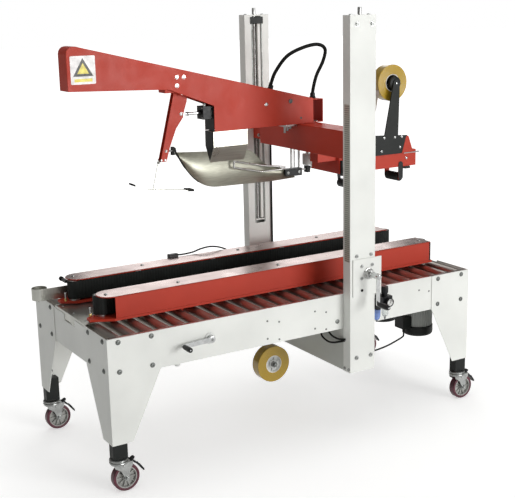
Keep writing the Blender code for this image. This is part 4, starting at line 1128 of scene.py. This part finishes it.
def upper_head():
    """Side plate with the roll's arm, screws, gusset, rollers, the film at the roll and the press roller."""
    lo = box("upper_tape_frame")[0]
    centre = middle_of("tape_roll_upper")
    roof, back = 1.135, -lo.y       # top and far side of the channel itself
    face = box("tape_arm")[0].y

    plate = Solid()
    plate.prism([(0.425, 1.123), (0.425, 1.228), (0.79, 1.205), (0.758, 1.123)], "Y", face - 0.0034,
        face - 0.0003)
    plate.block((0.43, 0.755), (face, face + 0.004), (roof + 0.0003, 1.2))
    arm = [(0.655, 1.2), (0.735, 1.2), (0.742, 1.445)] + arc((centre.x, centre.z), 0.018, 0, 180, 14)
    plate.prism(arm, "Y", face - 0.0055, face + 0.0006)
    plate.turn([(0, 0), (18, 0), (29.5, 4), (30, 16), (26, 18.5), (0, 18.5)],
        (centre.x, face + 0.0006, centre.z), FAR, 36)
    plate.turn([(0, 0), (12, 0), (12, 72), (10, 78), (0, 78)], (centre.x, face + 0.001, centre.z), FAR,
        28)
    plate.piece("tape_arm_plate", "folding_head", ["black_paint"], "tape_arm", True, bevel=0.0007)

    screws = Solid()
    for x, z in ((0.656, 1.202), (0.717, 1.201), (0.759, 1.2), (0.749, 1.153), (0.643, 1.141),
            (0.47, 1.205), (0.53, 1.15)):
        depth = 0.0055 if 0.65 < x < 0.74 and z > 1.19 else 0.0034
        screws.button_bolt((x, face - depth, z), NEAR, 0.005, 0.0035)
    screws.button_bolt((0.789, lo.y - 0.0004, 1.098), NEAR, 0.0055, 0.004)
    for x in (0.789, 0.5):
        screws.button_bolt((x, back, 1.098), FAR, 0.0055, 0.004)
    screws.turn([(0, 0), (5.5, 0), (4.5, 2.5), (0, 3)], (centre.x, face - 0.0055, centre.z), NEAR, 20)
    screws.piece("tape_head_screws", "folding_head", ["chrome"], "tape_arm")

    gusset = Solid()
    for y in (lo.y - 0.004, back - 0.003):
        gusset.prism([(0.76, roof - 0.012), (0.822, roof - 0.012), (0.822, roof), (0.7985, 1.198),
            (0.7905, 1.203), (0.783, 1.198)], "Y", y, y + 0.0035)
    gusset.block((0.786, 0.795), (lo.y - 0.001, back - 0.001), (1.17, 1.196))
    gusset.piece("tape_head_gusset", "folding_head", ["red"], "upper_tape_frame", bevel=0.0006)

    works = Solid()
    works.tube([(0.77, -0.052, 1.1225), (0.861, -0.052, 1.1225)], 0.0032, 12)
    for x, z, radius in ((0.605, 1.165, 0.011), (0.52, 1.095, 0.01), (0.66, 1.085, 0.008),
            (0.755, 1.078, 0.009)):
        works.lathe([(0, 0.001), (radius * 0.5, 0.001), (radius * 0.5, 0.004), (radius, 0.0045),
            (radius, 0.094), (radius * 0.5, 0.0945), (0, 0.096)], (x, lo.y + 0.0035, z), FAR, 24)
    works.use(1)
    works.block((0.781, 0.811), (-0.052, -0.02), (1.048, 1.059))
    works.block((0.4115, 0.449), (-0.064, -0.0505), (1.053, 1.121))
    works.rod(0.0125, 0.02, (0.431, -0.064, 1.078), NEAR, 24)
    works.turn([(0, 0), (18.5, 0), (19.5, 2), (19.5, 86), (18.5, 88), (0, 88)], (0.478, -0.044, 1.0045),
        FAR, 28)
    for s in (-1, 1):
        works.prism(slot_outline((0.478, 1.0045), (0.47, 1.075), 0.008), "Y", s * 0.0455, s * 0.0495)
        works.prism(slot_outline((0.755, 1.012), (0.755, 1.072), 0.0132), "Y", s * 0.0503, s * 0.0525)
    works.piece("tape_head_works", "folding_head", ["chrome", "plastic"], "upper_tape_frame",
        bevel=0.0006)

    web = Solid()
    peel_angle, peel_radius = math.radians(22), 0.0825
    x, z = centre.x - peel_radius * math.cos(peel_angle), centre.z - peel_radius * math.sin(peel_angle)
    line = [(0.602, 1.176), (x, z), (x - 0.0006, z + 0.006)]
    web.prism(strip_outline(line, 0.0003), "Y", -0.024, 0.024)
    web.piece("tape_web_upper", "folding_head", ["web"], "tape_roll_upper")

    middle = middle_of("press_roller")
    press = Solid()
    press.turn([(6, -44), (18, -44), (20, -42.5), (20, -5), (19.2, -4.2), (19.2, 4.2), (20, 5),
        (20, 42.5), (18, 44), (6, 44)], middle, FAR, 40, loop=True)
    press.use(1).turn([(0, -49.5), (4.2, -49.5), (4.2, -45.5), (7.5, -45), (7.5, 45), (4.2, 45.5),
        (4.2, 49.5), (0, 49.5)], middle, FAR, 24)
    press.piece("press_roller_detail", "press_wheel", ["rubber", "light_plastic"], "press_roller", True)


def lower_head():
    """Working parts in the trough of the lower tape head, and the nut of its roll."""
    centre = middle_of("tape_roll_lower")
    works = Solid()
    for x, z, radius in ((-0.11, 0.592, 0.019), (0.3, 0.592, 0.019)):
        works.use(1).lathe([(0, 0), (radius - 0.002, 0), (radius, 0.002), (radius, 0.074),
            (radius - 0.002, 0.076), (0, 0.076)], (x, -0.038, z), FAR, 32)
        for s in (-1, 1):
            works.use(0).prism(slot_outline((x, z), (x + 0.06, z - 0.06), 0.009), "Y", s * 0.0388,
                s * 0.0415)
    for x, z in ((-0.03, 0.54), (0.03, 0.58), (0.085, 0.52), (0.2, 0.56)):
        works.use(0).rod(0.009, 0.08, (x, -0.04, z), FAR, 20)
    works.use(0).block((-0.04, 0.24), (-0.0405, -0.0385), (0.49, 0.598))
    works.block((-0.04, 0.24), (0.0385, 0.0405), (0.49, 0.598))
    works.use(2).block((0.115, 0.165), (-0.036, 0.036), (0.56, 0.603))
    works.piece("lower_head_works", "frame", ["steel", "rubber", "red"], "lower_tape_frame",
        bevel=0.0006)
    nut = Solid()
    nut.turn([(0, 0), (13.5, 0), (13.5, 2), (9.5, 2.2, 6), (9.5, 10, 6), (6.5, 11.5), (0, 12.5)],
        (centre.x, -0.03, centre.z), NEAR, 24)
    nut.piece("lower_roll_nut", "frame", ["dark_zinc"], "lower_tape_frame", bevel=0.0003)


# ---------------------------------------------------------------- side belts

def belt_loop(reach, middle, spacing):
    """Points and outward directions along a belt's loop round its two pulleys."""
    straight = 2 * PULLEY_X
    turn = math.pi * reach
    total = 2 * (straight + turn)
    count = round(total / spacing / 2) * 2
    line = []
    for i in range(count):
        d = total * i / count
        if d < straight:
            line.append(((-PULLEY_X + d, middle - reach), (0, -1)))
        elif d < straight + turn:
            a = (d - straight) / reach - math.pi / 2
            line.append(((PULLEY_X + reach * math.cos(a), middle + reach * math.sin(a)),
                (math.cos(a), math.sin(a))))
        elif d < 2 * straight + turn:
            line.append(((PULLEY_X - (d - straight - turn), middle + reach), (0, 1)))
        else:
            a = (d - 2 * straight - turn) / reach + math.pi / 2
            line.append(((-PULLEY_X + reach * math.cos(a), middle + reach * math.sin(a)),
                (math.cos(a), math.sin(a))))
    return line


def belt_unit(side, s):
    """Ribbed belt, pulleys, cover and small parts of one side belt unit."""
    body = "belt_unit_" + side
    lo, hi = box("drive_belt_" + side)
    middle = (lo.y + hi.y) / 2
    outer = hi.x - PULLEY_X
    thick = 0.004
    ribs = belt_loop(outer, middle, 0.0032)
    rings = []
    for level, inner in ((lo.z, False), (hi.z, False), (hi.z, True), (lo.z, True)):
        ring = []
        for i, (place, out) in enumerate(ribs):
            depth = thick - 0.0003 if inner else (0.0 if i % 4 < 3 else 0.0011)
            ring.append((place[0] - out[0] * depth, place[1] - out[1] * depth, level))
        rings.append(ring)
    belt = Solid()
    belt.loft(rings, loop=True)
    belt.piece("ribbed_belt_" + side, body, ["belt"], "drive_belt_" + side, True)

    for end in ENDS:
        node = f"belt_pulley_{end}_{side}"
        lo, hi = box(node)
        centre = (lo + hi) / 2
        radius = (hi.x - lo.x) / 2
        height = hi.z - lo.z
        drum = Solid()
        drum.lathe([(0.0088, 0.0), (radius - 0.0006, 0), (radius - 0.0006, 0.004),
            (radius - 0.0016, 0.0045), (radius - 0.0008, 0.01), (radius - 0.0004, height / 2),
            (radius - 0.0008, height - 0.01), (radius - 0.0016, height - 0.0045),
            (radius - 0.0006, height - 0.004), (radius - 0.0006, height - 0.0008),
            (radius - 0.004, height), (0.0088, height)], (centre.x, centre.y, lo.z), UP, 48, loop=True)
        drum.piece(f"pulley_{end}_{side}_drum", f"pulley_{end}_{side}", ["steel"], node, True)

    lo, hi = box("belt_cover_" + side)
    y_in, y_out = (lo.y, hi.y) if s > 0 else (hi.y, lo.y)
    radius = (hi.y - lo.y) / 2
    mid = (lo.y + hi.y) / 2
    sheet = 0.003
    top = hi.z

    def plan(inset):
        """The cover's outline from above, with a round infeed end."""
        points = [(hi.x - inset, mid - radius + inset), (hi.x - inset, mid + radius - inset)]
        return points + arc((lo.x + radius, mid), radius - inset, 90, 270, 28)

    cover = Solid()
    cover.prism(plan(0.0), "Z", top - sheet, top)
    cover.block((-0.77, 0.795), (y_out - s * sheet, y_out), (0.6405, top - 0.0005))
    cover.use(1).block((0.7955, 0.8035), (y_out - s * 0.1, y_out - s * 0.0005), (0.6405, top - 0.0035))
    cover.piece("belt_cover_shell_" + side, body, ["red", "black_paint"], "belt_cover_" + side, True,
        bevel=0.0008)
    # The top sheet's pink-brown tint is a painted reflection of the red cover and arm.
    plate = Solid()
    plate.prism(plan(0.0015), "Z", top + 0.0001, top + 0.0011)
    plate.piece("belt_top_sheet_" + side, body, ["top_steel_painted_reflection"], "belt_cover_" + side, bevel=0.0003)
    bolts = Solid()
    for x in (-0.79, -0.476, 0.0, 0.43, 0.77):
        bolts.button_bolt((x, mid + s * 0.008, top + 0.0011), UP, 0.0062, 0.0042)
    bolts.piece("belt_cover_bolts_" + side, body, ["zinc"], "belt_cover_" + side)

    guide = Solid()
    for x in (-0.52, -0.16, 0.2, 0.56):
        guide.block((x - 0.012, x + 0.012), (y_in + s * 0.004, y_in + s * 0.016),
            (top - sheet - 0.0035, top - sheet - 0.0003))
    guide.use(1)
    for x in (-0.6, -0.25, 0.1, 0.45, 0.7):
        guide.hex_bolt((x, y_out - s * 0.02, 0.63), DOWN, 0.0065, 0.006)
    guide.piece("belt_unit_clips_" + side, body, ["steel", "zinc"], "belt_base_" + side, bevel=0.0004)

    tension = Solid()
    tension.turn([(0, 0), (3, 0), (3, 30), (4.8, 31, 6), (4.8, 36, 6), (0, 36)],
        (-0.842, mid - s * 0.03, 0.64), UP, 16)
    tension.use(1).turn([(0, 0), (6.2, 0, 6), (6.2, 6, 6), (5.2, 7), (5.2, 11), (0, 11)],
        (-0.842, mid - s * 0.03, 0.64), UP, 18)
    tension.piece("belt_tension_screw_" + side, body, ["zinc", "brass"], "belt_base_" + side)


def motor(side):
    """Ribbed gear motor with its fan cover and terminal box."""
    body = "belt_unit_" + side
    node = "belt_motor_" + side
    lo, hi = box(node)
    radius = (hi.y - lo.y) / 2
    x, y = hi.x - radius, (lo.y + hi.y) / 2
    shell = Solid()
    shell.lathe([(0, 0.3135), (radius - 0.01, 0.3135), (radius - 0.01, 0.452), (radius - 0.003, 0.4525),
        (radius - 0.0025, 0.456), (radius - 0.0025, 0.466), (radius - 0.006, 0.47), (0, 0.47)],
        (x, y, 0), UP, 48)
    for out in spokes(36, math.pi / 36, flat=True):
        middle = Vector((x, y, 0)) + out * (radius - 0.007)
        shell.bar(middle + Vector((0, 0, 0.316)), middle + Vector((0, 0, 0.453)), 0.0024, 0.009, out)
    shell.block((x - 0.042, x + 0.042), (y - 0.042, y + 0.042), (0.4685, 0.556))
    shell.turn([(0, 554), (36, 554), (36, 560), (20, 560.5), (18, 566), (0, 566)], (x, y, 0), UP, 36)
    shell.use(1).turn([(0, 560), (9.4, 560), (9.4, 629.5), (0, 629.5)], (x, y, 0), UP, 24)
    for dx in (-0.034, 0.034):
        for dy in (-0.034, 0.034):
            shell.cap_screw((x + dx, y + dy, 0.4685), DOWN, 0.0038, 0.0045)
            shell.cap_screw((x + dx, y + dy, 0.556), UP, 0.0038, 0.0045)
    shell.piece(node + "_body", body, ["motor", "steel"], node, True, bevel=0.001)

    fan = Solid()
    grooves = [(0, 0.2695)]
    for k in range(8):
        ring = 0.007 + 0.0064 * k
        grooves += [(ring, 0.2695), (ring, 0.268), (ring + 0.0032, 0.268), (ring + 0.0032, 0.2695)]
    fan.lathe(grooves + [(radius - 0.0085, 0.27), (radius - 0.0045, 0.272), (radius - 0.0013, 0.2765),
        (radius, 0.283), (radius, 0.3125), (radius - 0.0015, 0.314), (0, 0.314)], (x, y, 0), UP, 48)
    fan.piece(node + "_fan_cover", body, ["black_paint"], node)

    terminal = Solid()
    terminal.block((x - 0.108, x - 0.06), (y - 0.03, y + 0.03), (0.312, 0.366))
    terminal.block((x - 0.112, x - 0.107), (y - 0.0315, y + 0.0315), (0.3105, 0.3675))
    for dy in (-0.026, 0.026):
        for z in (0.316, 0.362):
            terminal.small_screw((x - 0.112, y + dy, z), (-1, 0, 0), 0.0026, 0.0014)
    conduit_gland(terminal, (x - 0.09, y - 0.008, 0.313), DOWN, 0.005)
    terminal.piece(node + "_terminal_box", body, ["black_paint"], node, bevel=0.0014)


def infeed_guide():
    """Stainless guide with its rolled edge."""
    curl = (-0.9225, 0.216)
    outline = [(-0.79, 0.187)] + arc(curl, 0.029, -90, -370, 48)
    outline += arc(curl, 0.032, -370, -90, 48) + [(-0.79, 0.184)]
    guide = Solid()
    guide.prism(outline, "Z", 0.6405, 0.69)
    guide.piece("infeed_guide_sheet", "belt_unit_far", ["stainless_up"], "infeed_guide", True,
        bevel=0.0004)
    knob = Solid()
    knob.turn([(0, 0), (4.5, 0), (4.5, 12), (9.5, 12.5), (10, 16), (9.5, 26), (7, 28), (0, 28)],
        (-0.806, 0.246, 0.7), FAR, 20)
    knob.block((-0.812, -0.8), (0.206, 0.247), (0.694, 0.706))
    knob.piece("guide_knob", "belt_unit_far", ["plastic"], "infeed_guide", bevel=0.0006)


# ---------------------------------------------------------------- services

def infeed_sheet():
    """Stainless sheet over the first rollers between the two belts, with its screws."""
    sheet = Solid()
    sheet.block((-0.8795, -0.64), (-0.165, 0.165), (0.6216, 0.6231))
    sheet.block((-0.8795, -0.878), (-0.165, 0.165), (0.59, 0.6225))
    sheet.use(1)
    for x in (-0.86, -0.66):
        for y in (-0.12, 0.0, 0.12):
            sheet.small_screw((x, y, 0.6231), UP, 0.0048, 0.002)
    sheet.piece("infeed_bed_sheet", "frame", ["stainless_up", "zinc"], "roller_bed", bevel=0.0004)


def air_regulator():
    """Filter and regulator with their bowls, knob, gauge and port valve."""
    lo, hi = box("air_regulator")
    y = -0.42
    body = Solid()
    for x0, x1 in ((lo.x, lo.x + 0.0365), (lo.x + 0.0405, hi.x)):
        body.block((x0, x1), (y - 0.0215, y + 0.0215), (0.545, 0.59))
    body.block((lo.x + 0.036, lo.x + 0.042), (y - 0.015, y + 0.015), (0.552, 0.584))
    body.turn([(0, 0), (12.5, 0), (12.5, 10), (15, 12), (15, 37), (13.8, 40.5), (0, 41.2)],
        (0.376, y, 0.5898), UP, 32)
    for out in spokes(18, flat=True):
        foot = Vector((0.376, y, 0.6035)) + out * 0.015
        body.bar(foot, foot + Vector((0, 0, 0.0215)), 0.0022, 0.0016, out)
    body.rod(0.01, 0.006, (0.335, y, 0.5898), UP, 24)
    for x, r in ((0.336, 0.0172), (0.379, 0.0165)):
        body.lathe([(0, 0), (r, 0), (r, 0.009), (r - 0.002, 0.011), (0, 0.011)], (x, y, 0.5455), DOWN,
            32)
    body.turn([(14.5, 0), (19, 0), (19, 15), (18, 17), (16.5, 17.2), (16, 12), (14.5, 12)],
        (0.379, y - 0.0215, 0.566), NEAR, 40, loop=True)
    body.piece("air_unit_body", "frame", ["plastic"], "air_regulator", True, bevel=0.0016)

    bowls = Solid()
    bowls.turn([(0, 0), (16.2, 0), (16.5, 4), (15.8, 34), (13.2, 45), (8, 51), (0, 52)],
        (0.335, y, 0.5405), DOWN, 32)
    bowls.use(1).turn([(0, 0), (14.6, 0), (14.8, 4), (14, 30), (11.5, 40), (6, 44), (0, 45)],
        (0.379, y, 0.54), DOWN, 32)
    bowls.use(2).turn([(0, 0), (4.2, 0), (4.2, 8), (2.8, 10), (0, 10)], (0.335, y, 0.4895), DOWN, 16)
    bowls.turn([(0, 0), (4.2, 0), (4.2, 7), (2.8, 12), (0, 12)], (0.379, y, 0.496), DOWN, 16)
    bowls.piece("air_unit_bowls", "frame", ["blue_bowl", "clear_bowl", "dark_zinc"], "air_regulator")

    gauge = Solid()
    centre = Vector((0.379, y - 0.0335, 0.566))
    gauge.rod(0.0146, 0.001, centre, NEAR, 40)
    gauge.use(1)
    for k in range(11):
        angle = math.radians(225 - 27 * k)
        out = Vector((math.cos(angle), 0, math.sin(angle)))
        inner = 0.01 if k % 5 == 0 else 0.0115
        gauge.bar(centre + out * inner + Vector((0, -0.0011, 0)), centre + out * 0.0132 + Vector(
            (0, -0.0011, 0)), 0.0006, 0.0004, FAR)
    needle = Vector((math.cos(math.radians(70)), 0, math.sin(math.radians(70))))
    gauge.bar(centre - needle * 0.003 + Vector((0, -0.0018, 0)), centre + needle * 0.0105 + Vector(
        (0, -0.0018, 0)), 0.0011, 0.0004, FAR)
    gauge.turn([(0, 1), (2, 1), (1.6, 2.6), (0, 2.6)], centre, NEAR, 16)
    gauge.piece("air_gauge_dial", "frame", ["dial", "ink_and_painted_shade"], "air_regulator")
    lens = Solid()
    lens.turn([(0, 0), (16, 0), (16, 0.8), (9, 1.8), (0, 2.1)], centre + Vector((0, -0.0035, 0)), NEAR,
        32)
    lens.piece("air_gauge_lens", "frame", ["lens"], "air_regulator")

    bracket = Solid()
    beam = box("side_beam_near")[0].y
    bracket.prism(strip_outline([(0.334, y + 0.0218), (0.334, beam - 0.0035), (0.392, beam - 0.0035)],
        0.003), "Z", 0.553, 0.587)
    bracket.use(1)
    for z in (0.56, 0.58):
        bracket.cap_screw((0.382, beam - 0.0036, z), NEAR, 0.0032, 0.0035)
    bracket.use(2).turn([(0, 0), (6.5, 0, 6), (6.5, 8, 6), (5, 9), (5, 16), (0, 16)], (lo.x, y, 0.566),
        (-1, 0, 0), 18)
    bracket.piece("air_unit_bracket", "frame", ["zinc", "zinc", "brass"], "air_regulator", bevel=0.0005)


def bridge(piece, a, b, start, end):
    """Take a piece off its body, so that it stays where it is and rides on none; the two bodies, start and
    end are not used.
    """
    piece.parent = None
    del piece["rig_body"]
    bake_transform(piece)


def cables():
    """Short cables that the machine holds at both ends, and the air hose inside the far column."""
    motor_lo, motor_hi = box("belt_motor_near")
    x, y = motor_hi.x - (motor_hi.y - motor_lo.y) / 2, (motor_lo.y + motor_hi.y) / 2
    runs = [
        ("motor_cable_near", ("belt_unit_near", "frame"), 0.0038, [
            (x - 0.090, y - 0.008, 0.292), (x - 0.091, y - 0.009, 0.284), (x - 0.100, y - 0.020, 0.279),
            (0.673, -0.180, 0.283), (0.623, -0.200, 0.280), (0.550, -0.222, 0.275), (0.480, -0.240, 0.275),
            (0.410, -0.262, 0.283), (0.350, -0.285, 0.300), (0.3135, -0.295, 0.322)]),
        ("bed_cable_long", ("frame",), 0.0042, [
            (0.189, -0.215, 0.420), (0.176, -0.240, 0.398), (0.172, -0.290, 0.388), (0.174, -0.330, 0.393),
            (0.180, -0.365, 0.405), (0.188, -0.392, 0.415)]),
        ("bed_cable_short", ("frame",), 0.0042, [
            (0.165, -0.290, 0.464), (0.166, -0.305, 0.437), (0.172, -0.330, 0.420), (0.180, -0.365, 0.416),
            (0.188, -0.398, 0.422)]),
        ("far_belt_cable", ("belt_unit_far",), 0.0036, [
            (-0.330, 0.220, 0.712), (-0.300, 0.230, 0.733), (-0.250, 0.230, 0.732),
            (-0.200, 0.229, 0.735), (-0.160, 0.229, 0.744), (-0.110, 0.229, 0.748),
            (-0.060, 0.229, 0.738), (-0.010, 0.227, 0.715), (0.040, 0.222, 0.690)]),
    ]
    for name, bodies, radius, route in runs:
        cable = Solid()
        cable.tube(smooth_route(route, 0.004), radius, 12)
        obj = cable.piece(name, bodies[0], ["rubber"], "belt_motor_near" if "motor" in name
            else "conduit")
        if len(bodies) == 2:
            bridge(obj, *bodies, route[2], route[-2])
    block = Solid()
    block.block((-0.322, -0.276), (0.2165, 0.238), (0.722, 0.742))
    block.piece("far_cable_connector", "belt_unit_far", ["plastic"], "belt_cover_far", bevel=0.002)

    hose = Solid()
    hose.tube([(HOSE_X, HOSE_Y, 0.64 + 0.0138 * k) for k in range(40)], 0.0042, 12)
    obj = hose.piece("lift_air_hose", "frame", ["rubber"], "conduit")
    bridge(obj, "frame", "folding_head", (HOSE_X, HOSE_Y, 0.66), (HOSE_X, HOSE_Y, 1.17))


# ---------------------------------------------------------------- the machine

add_camera()
add_floor()
add_studio()
dress_cad_nodes()
leg_bolts()
beam_details()
rollers()
for end in ENDS:
    for side in SIDES:
        caster(end, side)
columns()
lift_drive()
width_drive()
cross_beam()
arm_details()
kicker()
plough()
conduit()
tape_roll("tape_upper", "tape_roll_upper", "upper_roll", "plastic")
tape_roll("tape_lower", "tape_roll_lower", "lower_roll", "light_plastic")
upper_head()
lower_head()
for side, sign in SIDES.items():
    belt_unit(side, sign)
    motor(side)
infeed_guide()
infeed_sheet()
air_regulator()
cables()
